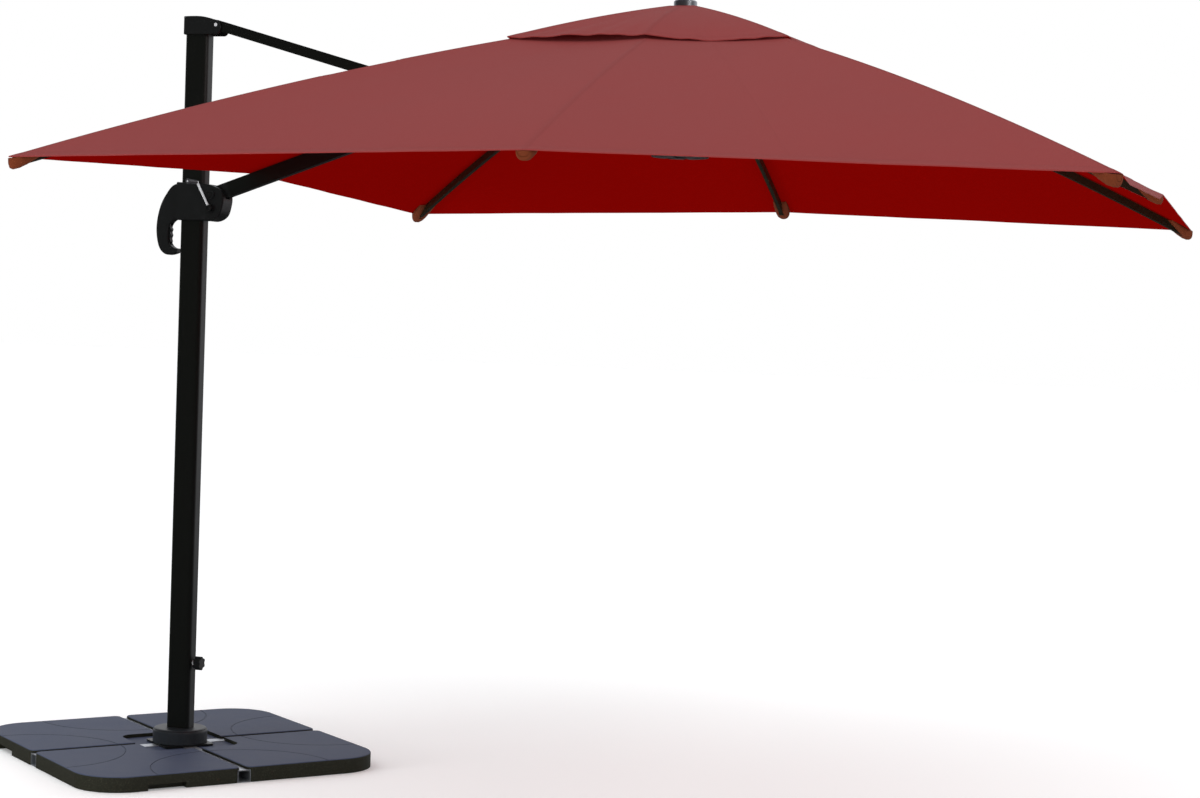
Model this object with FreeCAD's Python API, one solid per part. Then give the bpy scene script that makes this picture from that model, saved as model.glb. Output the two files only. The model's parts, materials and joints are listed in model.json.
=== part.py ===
import FreeCAD, Part
import os
from math import asin, atan2, cos, degrees, hypot, radians, sin, tan

# Cantilever patio umbrella on a four-plate base.  Millimetres, +Z up.
# The origin is on the floor at the mast's axis; the boom reaches out along +X.

# ---- driving dimensions -------------------------------------------------------------------
# base
base_side = 1040.0           # square of four plates, outside
plate_gap = 24.0             # between neighbouring plates at the top
plate_height = 50.0
plate_wall = 5.0
plate_outer_radius = 150.0   # the four outside corners of the base
plate_inner_radius = 22.0    # every other corner of a plate
plate_edge_round = 5.0
base_turn = -39.0            # degrees, the base's own axes against the boom
beam_width = 46.0
beam_height = 40.0
beam_wall = 3.0
beam_play = 1.5              # plates against beams
recess_side = 315.0          # rounded square pocket round the mast foot
recess_radius = 45.0
recess_floor_drop = 12.0     # below the plates' tops
groove_ring_radius = 300.0   # ornamental rings centred at the middle of each side
groove_radius = 1.8
notch_length = 130.0         # hand hold under one outer side of each plate
notch_height = 18.0
notch_depth = 26.0
core_lift = 12.0             # underside of the ballast above the floor
beam_end_gap = 2.0           # beam ends inside the square of the plates
# spigot, on which the mast turns
spigot_plate_side = 176.0
spigot_plate_thickness = 6.0
spigot_radius = 21.0
spigot_wall = 3.5
spigot_top = 430.0
flange_bolt_reach = 68.0     # bolt from the mast axis, along each beam
flange_bolt_radius = 5.0
flange_bolt_tail = 12.0      # thread below the beam's top wall
flange_head_height = 6.5
flange_nut_height = 8.0
head_share = 1.7             # hexagon's corner radius against the bolt's radius
spigot_plate_corner = 12.0
turning_play = 0.05          # radial, bush on spigot
bush_length = 30.0
bush_below_top = 10.0        # upper bush under the spigot's end
cover_radius = 92.0
cover_height = 48.0
cover_lift = 1.5             # over the spigot plate
cover_wall = 3.0
cover_edge_round = 12.0
# mast
mast_width = 84.0            # along X
mast_depth = 56.0            # along Y
mast_corner = 14.0
mast_wall = 2.5
mast_foot = 58.0             # lower end of the tube
mast_top = 2480.0            # upper end of the tube
bush_inset = 6.0             # lower bush inside the tube's end
knob_height = 318.0
knob_radius = 23.0
knob_depth = 24.0
knob_screw_radius = 5.0
knob_stand_off = 9.0         # knob in front of the mast's face
knob_scallops = 6
scallop_radius = 10.0
scallop_reach = 5.0          # scallop centres outside the knob's radius
screw_tip_play = 0.6         # screw against the spigot
screw_cover = 5.0            # knob over the screw's head end
boss_radius = 11.0
boss_proud = 6.0
boss_depth = 8.0             # inside the mast's wall
# moulded cap on the mast
cap_wall = 1.8
cap_cheek = 6.5              # cheeks that carry the tie bolt
cap_nose = 18.0              # in front of the tie pivot
cap_rise = 30.0              # above the tie pivot
cap_skirt = 32.0             # below the tie pivot
cap_roof_play = 3.0
cap_edge_round = 3.0
screw_head_radius = 6.0
screw_head_height = 3.0
# pivots of the boom and its tie
pivot_clearance = 32.0       # tie pivot and slider pivot, in front of the mast
tie_pivot_height = 2482.0
slider_pivot_height = 1912.0
link_length = 946.0          # tie pivot to knee, and knee to slider pivot
boom_slope = 19.5            # degrees above level when the umbrella is up
tie_slope = 15.5             # degrees below level, straight part of the tie
tie_bend_reach = 110.0       # knee to the bend of the tie, along X
tie_height = 34.0
tie_thickness = 7.0
spacer_radius = 8.0
spacer_shares = (0.25, 0.6)   # of the tie's straight part
boom_height = 50.0
boom_width = 30.0
boom_wall = 2.5
side_play = 1.5              # between plates that turn against each other
pivot_bolt_radius = 6.0
bore_play = 0.05             # radial, bolts that turn
bolt_end_gap = 0.5           # bolt ends inside the cheeks
boom_tube_start = 60.0       # from the slider pivot
boom_tube_stop = 48.0        # before the outer pivot
plug_length = 60.0           # end fittings inside the tube
fork_radius = 20.0
fork_cheek = 6.0
fork_collar = 12.0
tongue_arm_half = 9.0        # arm of the crown between the fork's cheeks
saddle_half_length = 45.0
saddle_cheek = 2.5
saddle_floor = 3.0
saddle_rim = 6.0             # saddle's sides below the boom's top
lug_radius = 17.0
# slider
liner_thickness = 3.0
liner_play = 0.5             # liner against the mast
shell_wall = 5.0
shell_half_depth = 38.0      # shells reach this far each side of the boom's plane
shell_edge_round = 5.5
crank_offset_x = 76.0
crank_drop = 47.0            # crank axis below the slider pivot
crank_shaft_radius = 6.0
drum_radius = 14.0
drum_core_radius = 9.0
drum_groove_half = 11.0
shaft_length = 14.0          # winch shaft outside the housing
liner_height = 26.0
lower_liner_drop = 84.0      # liners' lower ends against the slider pivot
upper_liner_rise = 8.0
swing_play = 4.0             # round the boom's inner end
crank_arm_length = 98.0
crank_arm_radius = 4.0
crank_lean = 29.0            # degrees from upright, towards the mast
crank_knob_length = 62.0
crank_hub_radius = 11.0
knob_root_radius = 7.5
knob_end_radius = 9.0
knob_pin_radius = 2.5
knob_pin_end = 8.0           # pin beyond the knob
crank_clearance = 8.0        # rod in front of the housing
grip_half_width = 16.0
grip_edge_round = 6.0
latch_pin_radius = 3.0
latch_half_width = 9.0
# canopy
canopy_side = 3000.0
hub_x = 1700.0
crown_height = 2480.0        # level of the rib hinges
hinge_radius = 70.0          # rib hinges and stretcher hinges from the canopy axis
crown_radius = 92.0
crown_thickness = 30.0
edge_height = 1970.0         # fabric at the middle of a side
corner_height = 1933.0       # fabric at a corner
rib_height = 26.0
rib_width = 14.0
rib_inset = 14.0             # rib tip inside the fabric's edge
middle_bow = 22.0            # rise of a rib above its chord
corner_bow = 38.0
fabric_thickness = 3.0
fabric_lift = 2.5            # fabric above the middle ribs and the boom
ridge_lift = 6.0             # fabric above the corner ribs, where it is creased
vent_share = 0.292           # second tier against the canopy
vent_hole_share = 0.2
vent_edge_lift = 24.0        # second tier above the canopy, middle of its sides
vent_corner_lift = 8.0
apex_height = 2534.0
tongue_half = 6.0            # flat ends that turn in slots
slot_half = 6.6
rib_pin_radius = 4.0
rib_pin_end = 8.0            # pin held in the hub each side of its slot
bracket_drop = 22.0          # stretcher pivot below the rib's centre line
bracket_half_length = 15.0
rib_bar_start = 46.0         # hollow part, from the rib hinge
tongue_length = 60.0
tongue_radius = 9.0
cheek_thickness = 3.0        # the two cheeks beside the rib that carry the stretcher's pin
stretcher_pin_radius = 3.5
rib_cap_length = 34.0
middle_stretcher_reach = 548.0
stretcher_height = 13.0
open_play = 2.4              # radial, at the stretcher ends that close the linkage
stretcher_eye_radius = 10.0
slot_depth = 22.0            # inwards from the hinges
runner_thickness = 26.0
runner_bore = 24.0
sleeve_radius = 34.0
crown_arm_height = 30.0
middle_closed_slope = 85.0   # degrees, ribs when the umbrella is folded
corner_closed_slope = 86.05
stow_angle = 62.0            # degrees that the tie swings down
finial_radius = 37.0
finial_height = 19.0
finial_lift = 2.0            # over the apex
finial_edge_round = 6.0
stud_radius = 5.0
stud_depth = 10.0            # into the crown
boom_end_reach = 116.0       # boom's outer pivot from the canopy axis

through = 400.0              # long enough to cut right through a part

# ---- values that follow -------------------------------------------------------------------
half_base = base_side / 2
pivot_offset = mast_width / 2 + pivot_clearance
half_gap = plate_gap / 2
spigot_plate_top = beam_height + spigot_plate_thickness
link_angle = degrees(asin((tie_pivot_height - slider_pivot_height) / (2 * link_length)))
knee_x = pivot_offset + link_length * cos(radians(link_angle))
knee_z = (tie_pivot_height + slider_pivot_height) / 2
boom_half = boom_width / 2
tie_inner = boom_half + saddle_cheek + side_play
tie_outer = tie_inner + tie_thickness
boom_end_x = hub_x - boom_end_reach
boom_end_z = slider_pivot_height + (boom_end_x - pivot_offset) * tan(radians(boom_slope))
half_canopy = canopy_side / 2
corner_reach = half_canopy * 2 ** 0.5
crank_z = slider_pivot_height - crank_drop

rib_azimuths = {
    "front": -90.0, "right": 0.0, "back": 90.0,
    "front_left": -135.0, "front_right": -45.0, "back_right": 45.0, "back_left": 135.0,
}


def vec(x, y, z):
    return FreeCAD.Vector(x, y, z)


# ---- general shapes -----------------------------------------------------------------------
def block(x0, x1, y0, y1, z0, z1):
    return Part.makeBox(x1 - x0, y1 - y0, z1 - z0, vec(x0, y0, z0))


def rod(start, end, radius):
    way = end - start
    return Part.makeCylinder(radius, way.Length, start, way)


def cross_rod(x, z, radius, y0, y1):
    """Round bar along Y."""
    return rod(vec(x, y0, z), vec(x, y1, z), radius)


def upright(radius, z0, z1, x=0.0, y=0.0):
    return Part.makeCylinder(radius, z1 - z0, vec(x, y, z0))


def side_plate(points, y0, y1):
    """Outline of (x, z) points, as thick as y0 to y1."""
    wire = Part.makePolygon([vec(x, y0, z) for x, z in points + points[:1]])
    return Part.Face(wire).extrude(vec(0, y1 - y0, 0))


def smooth_plate(runs, y0, y1):
    """Outline of runs of (x, z) points: two points make a straight side, more make a curve."""
    edges = []
    for run in runs:
        points = [vec(x, y0, z) for x, z in run]
        if len(points) == 2:
            edges.append(Part.LineSegment(points[0], points[1]).toShape())
        else:
            curve = Part.BSplineCurve()
            curve.interpolate(points)
            edges.append(curve.toShape())
    return Part.Face(Part.Wire(edges)).extrude(vec(0, y1 - y0, 0))


def side_rims(shape, half_width):
    """Edges round a plate's two side faces, apart from those straight up and down."""
    rims = [e for e in shape.Edges if abs(e.BoundBox.YMin) > half_width - 1 and e.BoundBox.YLength < 1]
    return [e for e in rims if e.BoundBox.XLength > 2]


def rounded_prism(x0, x1, y0, y1, z0, z1, radii):
    """Upright prism; radii are of the corners (x0,y0), (x1,y0), (x1,y1), (x0,y1)."""
    corners = [(x0, y0, 1, 1), (x1, y0, -1, 1), (x1, y1, -1, -1), (x0, y1, 1, -1)]
    edges = []
    ends = []
    for (x, y, sx, sy), r in zip(corners, radii):
        centre = vec(x + sx * r, y + sy * r, z0)
        beside = vec(x, y + sy * r, z0)
        below = vec(x + sx * r, y, z0)
        middle = centre - vec(sx * r, sy * r, 0) * (0.5 ** 0.5)
        first, last = (beside, below) if sx * sy > 0 else (below, beside)
        ends.append((first, middle, last))
    for index, (first, middle, last) in enumerate(ends):
        edges.append(Part.Arc(first, middle, last).toShape())
        edges.append(Part.LineSegment(last, ends[(index + 1) % 4][0]).toShape())
    return Part.Face(Part.Wire(edges)).extrude(vec(0, 0, z1 - z0))


def mast_profile(grow, z0, z1):
    """The mast's rounded rectangle, grown all round."""
    w = mast_width / 2 + grow
    d = mast_depth / 2 + grow
    r = mast_corner + grow
    return rounded_prism(-w, w, -d, d, z0, z1, [r] * 4)


def hexagon(radius, height, place, way):
    """Hexagonal head standing on place along way."""
    points = [vec(radius * cos(radians(a)), radius * sin(radians(a)), 0) for a in range(0, 361, 60)]
    head = Part.Face(Part.makePolygon(points)).extrude(vec(0, 0, height))
    head.Placement = FreeCAD.Placement(place, FreeCAD.Rotation(vec(0, 0, 1), way))
    return head


def turned(shape, angle, x=0.0):
    """Shape turned about the upright axis, then moved along X."""
    copy = shape.copy()
    copy.rotate(vec(0, 0, 0), vec(0, 0, 1), angle)
    copy.translate(vec(x, 0, 0))
    return copy


def cross_bolt(x, z, radius, half_width):
    """Bolt along Y with a domed head at -Y and a nut at +Y."""
    bolt = cross_rod(x, z, radius, -half_width, half_width + 1.0)
    dome = Part.makeSphere(radius * 2.2, vec(x, -half_width + radius * 1.2, z))
    head = dome.common(cross_rod(x, z, radius * 1.8, -half_width - radius * 2, -half_width))
    nut = hexagon(radius * 1.9, radius * 1.5, vec(x, half_width, z), vec(0, 1, 0))
    return bolt.fuse([head, nut])


def save(name, *solids):
    shape = solids[0] if len(solids) == 1 else Part.makeCompound(list(solids))
    shape.exportStep("parts/" + name + ".step")
    print(name, len(shape.Solids), round(shape.Volume), shape.isValid())


# ---- base ---------------------------------------------------------------------------------
def plate_outline(inset, z0, z1):
    radii = [plate_inner_radius, plate_inner_radius, plate_outer_radius, plate_inner_radius]
    radii = [r - inset for r in radii]
    low = half_gap + inset
    high = half_base - inset
    return rounded_prism(low, high, low, high, z0, z1, radii)


def beam_channels(wall, z1):
    """What a plate leaves free over the two beams it borders."""
    edge = beam_width / 2 + beam_play + wall
    along = block(-1, half_base + 1, -1, edge, -1, z1)
    across = block(-1, edge, -1, half_base + 1, -1, z1)
    return along.fuse(across)


def mast_recess(wall, z0):
    half = recess_side / 2 + wall
    r = recess_radius + wall
    return rounded_prism(-half, half, -half, half, z0, plate_height + 1, [r] * 4)


def hand_hold(wall):
    """Notch under one outer side of a plate."""
    middle = (half_base + half_gap) / 2
    half = notch_length / 2 + wall
    depth = half_base - notch_depth - wall
    top = notch_height + wall
    return block(middle - half, middle + half, depth, half_base + 1, -1, top)


def plate_hollow(wall, z0):
    """The space inside a plate."""
    room = plate_outline(wall, z0, plate_height - wall)
    top = beam_height + beam_play + wall
    room = room.cut(beam_channels(wall, top))
    room = room.cut(mast_recess(wall, plate_height - recess_floor_drop - wall))
    return room.cut(hand_hold(wall))


def base_plate():
    plate = plate_outline(0, 0, plate_height)
    rim = [e for e in plate.Edges if e.BoundBox.ZMin > plate_height - 0.1]
    plate = plate.makeFillet(plate_edge_round, rim)
    plate = plate.cut(beam_channels(0, beam_height + beam_play))
    plate = plate.cut(mast_recess(0, plate_height - recess_floor_drop))
    plate = plate.cut(hand_hold(0))
    for x, y in [(half_base, 0), (0, half_base)]:
        plate = plate.cut(Part.makeTorus(groove_ring_radius, groove_radius, vec(x, y, plate_height)))
    return plate.cut(plate_hollow(plate_wall, -1))


def box_beam(x0, x1):
    """Steel box section along X, resting on the floor."""
    half = beam_width / 2
    outside = block(x0, x1, -half, half, 0, beam_height)
    inside = block(x0 - 1, x1 + 1, beam_wall - half, half - beam_wall, beam_wall, beam_height - beam_wall)
    return outside.cut(inside)


def flange_bolt_places():
    return [turned(Part.Vertex(flange_bolt_reach, 0, 0), a).Point for a in (0, 90, 180, 270)]


def flange_bolts():
    bolts = []
    for place in flange_bolt_places():
        top = vec(place.x, place.y, spigot_plate_top)
        under = vec(place.x, place.y, beam_height - beam_wall)
        shank = rod(under - vec(0, 0, flange_bolt_tail), top, flange_bolt_radius)
        head = hexagon(flange_bolt_radius * head_share, flange_head_height, top, vec(0, 0, 1))
        nut_seat = under - vec(0, 0, flange_nut_height)
        nut = hexagon(flange_bolt_radius * head_share, flange_nut_height, nut_seat, vec(0, 0, 1))
        bolts.append(turned(shank.fuse([head, nut]), base_turn))
    return bolts


def drill_flange(shape, radius):
    for place in flange_bolt_places():
        shape = shape.cut(upright(radius, -1, spigot_plate_top + 1, place.x, place.y))
    return shape


def build_base():
    plate = base_plate()
    core = plate_hollow(plate_wall, core_lift)
    cores = []
    for name, angle in [("right", 0), ("back", 90), ("left", 180), ("front", 270)]:
        save(name + "_plate", turned(plate, base_turn + angle))
        cores.append(turned(core, base_turn + angle))
    save("ballast_cores", *cores)
    hole = flange_bolt_radius
    low = beam_height - beam_wall - 1
    beam_top_only = block(-half_base, half_base, -half_base, half_base, low, beam_height + 1)
    holes = [upright(hole, -1, beam_height + 1, p.x, p.y).common(beam_top_only) for p in flange_bolt_places()]
    beam_end = half_base - beam_end_gap
    long_beam = box_beam(-beam_end, beam_end).cut(holes)
    short_beam = box_beam(beam_width / 2, beam_end).cut(holes[0])
    save("long_cross_beam", turned(long_beam, base_turn))
    save("short_cross_beams", turned(short_beam, base_turn + 90), turned(short_beam, base_turn - 90))
    half = spigot_plate_side / 2
    foot = rounded_prism(-half, half, -half, half, beam_height, spigot_plate_top, [spigot_plate_corner] * 4)
    save("spigot_plate", turned(drill_flange(foot, hole), base_turn))
    tube = upright(spigot_radius, spigot_plate_top, spigot_top)
    save("spigot_tube", tube.cut(upright(spigot_radius - spigot_wall, 0, spigot_top + 1)))
    save("flange_bolts", *flange_bolts())


# ---- mast ---------------------------------------------------------------------------------
def foot_cover():
    low = spigot_plate_top + cover_lift
    high = low + cover_height
    cover = upright(cover_radius, low, high)
    cover = cover.makeFillet(cover_edge_round, [e for e in cover.Edges if e.BoundBox.ZMin > high - 0.1])
    cover = cover.cut(upright(cover_radius - cover_wall, 0, high - cover_wall))
    return cover.cut(mast_profile(0, 0, high + 1))


def turning_bush(z0):
    bush = mast_profile(-mast_wall, z0, z0 + bush_length)
    return bush.cut(upright(spigot_radius + turning_play, 0, mast_top))


def top_cap_outline():
    """Side outline of the moulded cap with its nose over the tie pivot."""
    back = -mast_width / 2 - cap_wall
    nose = pivot_offset + cap_nose
    top = tie_pivot_height + cap_rise
    skirt = tie_pivot_height - cap_skirt
    front = [
        (nose - 16, skirt), (nose - 5, skirt + 6), (nose, skirt + 20), (nose - 2, skirt + 34),
        (nose - 14, top - 17), (nose - 38, top - 8), (nose - 66, top - 2), (nose - 100, top), (back, top - 1),
    ]
    return [[(back, skirt), front[0]], front, [front[-1], (back, skirt)]]


def cap_half_depth():
    return tie_outer + side_play + cap_cheek


def top_cap():
    half = cap_half_depth()
    cap = smooth_plate(top_cap_outline(), -half, half)
    cap = cap.makeFillet(cap_edge_round, side_rims(cap, half))
    cap = cap.cut(mast_profile(0, 0, mast_top))
    inner = tie_outer + side_play
    roof = tie_pivot_height + tie_height / 2 + cap_roof_play
    mouth = block(mast_width / 2 + 2, pivot_offset * 3, -inner, inner, 0, roof)
    cap = cap.cut(mouth)
    return cap.cut(cross_rod(pivot_offset, tie_pivot_height, pivot_bolt_radius, -half - 1, half + 1))


def star_knob():
    """Lobed knob on the +X face of the mast."""
    start = mast_width / 2 + knob_stand_off
    body = rod(vec(start, 0, knob_height), vec(start + knob_depth, 0, knob_height), knob_radius)
    reach = knob_radius + scallop_reach
    for angle in range(0, 360, 360 // knob_scallops):
        y = reach * cos(radians(angle))
        z = knob_height + reach * sin(radians(angle))
        body = body.cut(rod(vec(start - 1, y, z), vec(start + knob_depth + 1, y, z), scallop_radius))
    return body


def build_mast():
    tube = mast_profile(0, mast_foot, mast_top).cut(mast_profile(-mast_wall, 0, mast_top + 1))
    face = mast_width / 2
    bore = rod(vec(0, 0, knob_height), vec(through, 0, knob_height), boss_radius)
    save("mast_tube", tube.cut(bore))
    boss_start = vec(face - mast_wall - boss_depth, 0, knob_height)
    boss = rod(boss_start, vec(face + boss_proud, 0, knob_height), boss_radius)
    screw_hole = rod(vec(0, 0, knob_height), vec(through, 0, knob_height), knob_screw_radius + bore_play)
    save("knob_boss", boss.cut(screw_hole))
    upper = spigot_top - bush_below_top - bush_length
    save("turning_bushes", turning_bush(mast_foot + bush_inset), turning_bush(upper))
    save("foot_cover", foot_cover())
    save("mast_cap", top_cap())
    half = cap_half_depth() - bolt_end_gap
    save("tie_bolt", cross_rod(pivot_offset, tie_pivot_height, pivot_bolt_radius, -half, half))
    back = -face - cap_wall
    screws = []
    for side in (-1, 1):
        seat = vec(back, side * mast_depth / 4, tie_pivot_height - cap_skirt / 2)
        ball = Part.makeSphere(screw_head_radius, seat + vec(screw_head_radius - screw_head_height, 0, 0))
        screws.append(ball.common(rod(seat, seat - vec(screw_head_height, 0, 0), screw_head_radius)))
    save("cap_screws", *screws)
    knob = star_knob()
    screw_end = mast_width / 2 + knob_stand_off + knob_depth - screw_cover
    screw_tip = spigot_radius + screw_tip_play
    screw = rod(vec(screw_tip, 0, knob_height), vec(screw_end, 0, knob_height), knob_screw_radius)
    save("star_knob", knob.cut(screw))
    save("knob_screw", screw)


# ---- tie and boom -------------------------------------------------------------------------
def strip(points, height, y0, y1):
    """Flat bar of even height along (x, z) points, with round ends."""
    pieces = [cross_rod(x, z, height / 2, y0, y1) for x, z in points]
    for (xa, za), (xb, zb) in zip(points, points[1:]):
        length = hypot(xb - xa, zb - za)
        ox = -(zb - za) / length * height / 2
        oz = (xb - xa) / length * height / 2
        corners = [(xa - ox, za - oz), (xb - ox, zb - oz), (xb + ox, zb + oz), (xa + ox, za + oz)]
        pieces.append(side_plate(corners, y0, y1))
    return pieces[0].fuse(pieces[1:]).removeSplitter()


def build_tie():
    bend_x = knee_x - tie_bend_reach
    bend_z = tie_pivot_height - (bend_x - pivot_offset) * tan(radians(tie_slope))
    route = [(pivot_offset, tie_pivot_height), (bend_x, bend_z), (knee_x, knee_z)]
    for name, side in [("front", -1), ("back", 1)]:
        low, high = sorted((side * tie_inner, side * tie_outer))
        bar = strip(route, tie_height, low, high)
        for x, z in (route[0], route[-1]):
            bar = bar.cut(cross_rod(x, z, pivot_bolt_radius + bore_play, low - 1, high + 1))
        save(name + "_tie_bar", bar)
    spacers = []
    for share in spacer_shares:
        x = pivot_offset + (bend_x - pivot_offset) * share
        z = tie_pivot_height + (bend_z - tie_pivot_height) * share
        spacers.append(cross_rod(x, z, spacer_radius, -tie_inner, tie_inner))
    save("tie_spacers", *spacers)


def along_boom(distance, rise):
    """Point (x, z) at a distance from the slider pivot and a height above the boom's axis."""
    a = radians(boom_slope)
    x = pivot_offset + distance * cos(a) - rise * sin(a)
    z = slider_pivot_height + distance * sin(a) + rise * cos(a)
    return x, z


def boom_length():
    return hypot(boom_end_x - pivot_offset, boom_end_z - slider_pivot_height)


def boom_block(d0, d1, low, high, half_width):
    corners = [along_boom(d0, low), along_boom(d1, low), along_boom(d1, high), along_boom(d0, high)]
    return side_plate(corners, -half_width, half_width)


def build_boom():
    half = boom_height / 2
    length = boom_length()
    near, far = boom_tube_start, length - boom_tube_stop
    tube = boom_block(near, far, -half, half, boom_half)
    tube = tube.cut(boom_block(near - 1, far + 1, boom_wall - half, half - boom_wall, boom_half - boom_wall))
    save("boom_tube", tube)
    plug = boom_block(near, near + plug_length, boom_wall - half, half - boom_wall, boom_half - boom_wall)
    eye = cross_rod(pivot_offset, slider_pivot_height, half, -boom_half, boom_half)
    inner_end = eye.fuse([boom_block(0, near, -half, half, boom_half), plug]).removeSplitter()
    bolt_hole = cross_rod(pivot_offset, slider_pivot_height, pivot_bolt_radius + bore_play, -through, through)
    save("boom_inner_end", inner_end.cut(bolt_hole))
    save("boom_outer_end", boom_outer_end(length, far))
    save("knee_bracket", knee_bracket())
    knee = cross_bolt(knee_x, knee_z, pivot_bolt_radius, tie_outer + 1)
    outer = cross_bolt(boom_end_x, boom_end_z, pivot_bolt_radius, fork_half() + 0.2)
    save("boom_bolts", knee, outer)


def fork_half():
    return tongue_arm_half + side_play + fork_cheek


def boom_outer_end(length, far):
    """Fork at the boom's outer end, with a plug into the tube."""
    half = boom_height / 2
    plug = boom_block(far - plug_length, far, boom_wall - half, half - boom_wall, boom_half - boom_wall)
    collar = boom_block(far, far + fork_collar, -half, half, fork_half())
    fork = boom_block(far, length, -fork_radius, fork_radius, fork_half())
    fork = fork.fuse(cross_rod(boom_end_x, boom_end_z, fork_radius, -fork_half(), fork_half()))
    slot_start = far + fork_collar + side_play
    slot = boom_block(slot_start, length + 2 * fork_radius, -half, half, tongue_arm_half + side_play)
    end = plug.fuse([collar, fork.cut(slot)]).removeSplitter()
    return end.cut(cross_rod(boom_end_x, boom_end_z, pivot_bolt_radius, -through, through))


def knee_bracket():
    """Saddle under the boom that carries the knee bolt."""
    cheek = boom_half + saddle_cheek
    a = radians(boom_slope)
    distance = (knee_x - pivot_offset) * cos(a) + (knee_z - slider_pivot_height) * sin(a)
    drop = -((knee_z - slider_pivot_height) * cos(a) - (knee_x - pivot_offset) * sin(a))
    half = boom_height / 2
    reach = saddle_half_length
    saddle = boom_block(distance - reach, distance + reach, -half - saddle_floor, half - saddle_rim, cheek)
    x, z = along_boom(distance, -drop)
    web = boom_block(distance - lug_radius, distance + lug_radius, -drop, -half, cheek)
    lug = cross_rod(x, z, lug_radius, -cheek, cheek).fuse(web)
    saddle = saddle.fuse(lug).removeSplitter()
    saddle = saddle.cut(boom_block(distance - 2 * reach, distance + 2 * reach, -half, half, boom_half))
    return saddle.cut(cross_rod(knee_x, knee_z, pivot_bolt_radius, -through, through))


# ---- slider -------------------------------------------------------------------------------
def slider_back_face():
    """X of the housing's flat back, where the grip stands."""
    return -mast_width / 2 - liner_play - liner_thickness - shell_wall - 1.5


def slider_outline():
    """Side outline of the housing round the mast, the boom pivot and the winch."""
    z = slider_pivot_height
    left = slider_back_face()
    x = pivot_offset
    front = [
        (x - 20, z - 88), (x + 14, z - 85), (x + 34, z - 70), (x + 45, z - 40), (x + 48, z - 8),
        (x + 38, z + 14), (x + 18, z + 26), (x - 12, z + 34), (x - 34, z + 37),
    ]
    return [[(left, z - 88), front[0]], front, [front[-1], (left, z + 40)], [(left, z + 40), (left, z - 88)]]


def slider_shells():
    body = smooth_plate(slider_outline(), -shell_half_depth, shell_half_depth)
    body = body.makeFillet(shell_edge_round, side_rims(body, shell_half_depth))
    body = body.cut(mast_profile(liner_play + liner_thickness, 0, mast_top))
    half = boom_half + side_play
    z = slider_pivot_height
    reach = boom_height / 2 + swing_play
    swing = cross_rod(pivot_offset, z, reach, -half, half)
    upward = block(pivot_offset - reach, through, -half, half, z, z + through)
    far = through
    wedge = [along_boom(0, -reach), along_boom(far, -reach), along_boom(far, far), (pivot_offset, z)]
    outward = side_plate(wedge, -half, half)
    body = body.cut([swing, upward, outward])
    body = body.cut(cross_rod(pivot_offset, z, pivot_bolt_radius, -through, through))
    body = body.cut(cross_rod(crank_offset_x, crank_z, drum_radius + 1, -half, half))
    body = body.cut(cross_rod(crank_offset_x, crank_z, crank_shaft_radius + bore_play, -through, 0))
    front = body.common(block(-through, through, -through, 0, 0, mast_top))
    back = body.common(block(-through, through, 0, through, 0, mast_top))
    return front, back


def slider_liners():
    z = slider_pivot_height
    liners = []
    for low in (z - lower_liner_drop, z + upper_liner_rise):
        ring = mast_profile(liner_play + liner_thickness, low, low + liner_height)
        liners.append(ring.cut(mast_profile(liner_play, 0, mast_top)))
    return liners


def grip():
    """Curved pistol grip behind the mast."""
    z = slider_pivot_height
    face = slider_back_face()
    outer = [
        (face, z + 34), (face - 14, z + 35), (face - 29, z + 28), (face - 48, z + 6), (face - 66, z - 24),
        (face - 80, z - 66), (face - 86, z - 112), (face - 81, z - 160), (face - 67, z - 192),
        (face - 48, z - 205), (face - 24, z - 205), (face - 4, z - 198),
    ]
    inner = [
        (face - 4, z - 184), (face - 20, z - 181), (face - 34, z - 168), (face - 38, z - 134),
        (face - 35, z - 106), (face - 22, z - 90), (face, z - 84),
    ]
    runs = [outer, [outer[-1], inner[0]], inner, [inner[-1], outer[0]]]
    body = smooth_plate(runs, -grip_half_width, grip_half_width)
    body = body.makeFillet(grip_edge_round, side_rims(body, grip_half_width))
    pocket = latch_half_width + 0.8
    body = body.cut(block(face - 57, face - 30, -pocket, pocket, z - 172, z - 98))
    x, pin_z = latch_pivot()
    return body.cut(cross_rod(x, pin_z, latch_pin_radius, -grip_half_width - 1, grip_half_width + 1))


def latch_pivot():
    return slider_back_face() - 44, slider_pivot_height - 106


def latch():
    """Squeeze lever with a waved finger edge."""
    x, z = latch_pivot()
    half = latch_half_width
    fingers = [
        (x + 6, z + 5), (x + 8, z - 6), (x + 12, z - 14), (x + 9, z - 23), (x + 12, z - 33),
        (x + 9, z - 43), (x + 11, z - 53), (x + 7, z - 61),
    ]
    back = [(x, z - 62), (x - 3, z - 40), (x - 5, z - 10), (x - 5, z + 5)]
    lever = smooth_plate([fingers, [fingers[-1], back[0]], back, [back[-1], fingers[0]]], -half, half)
    lever = lever.cut(cross_rod(x, z, latch_pin_radius + bore_play, -half - 1, half + 1))
    return lever.cut(cross_rod(x, z, 6.2, -4, 4))


def latch_spring():
    """Torsion spring round the latch pin, inside the lever's eye."""
    x, z = latch_pivot()
    coil = Part.makeTorus(4.3, 0.75, vec(x, -2.4, z), vec(0, 1, 0))
    return coil.fuse([Part.makeTorus(4.3, 0.75, vec(x, y, z), vec(0, 1, 0)) for y in (-1.2, 0.0, 1.2, 2.4)])


def crank_tip():
    a = radians(crank_lean)
    return crank_offset_x - crank_arm_length * sin(a), crank_z + crank_arm_length * cos(a)


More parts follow.
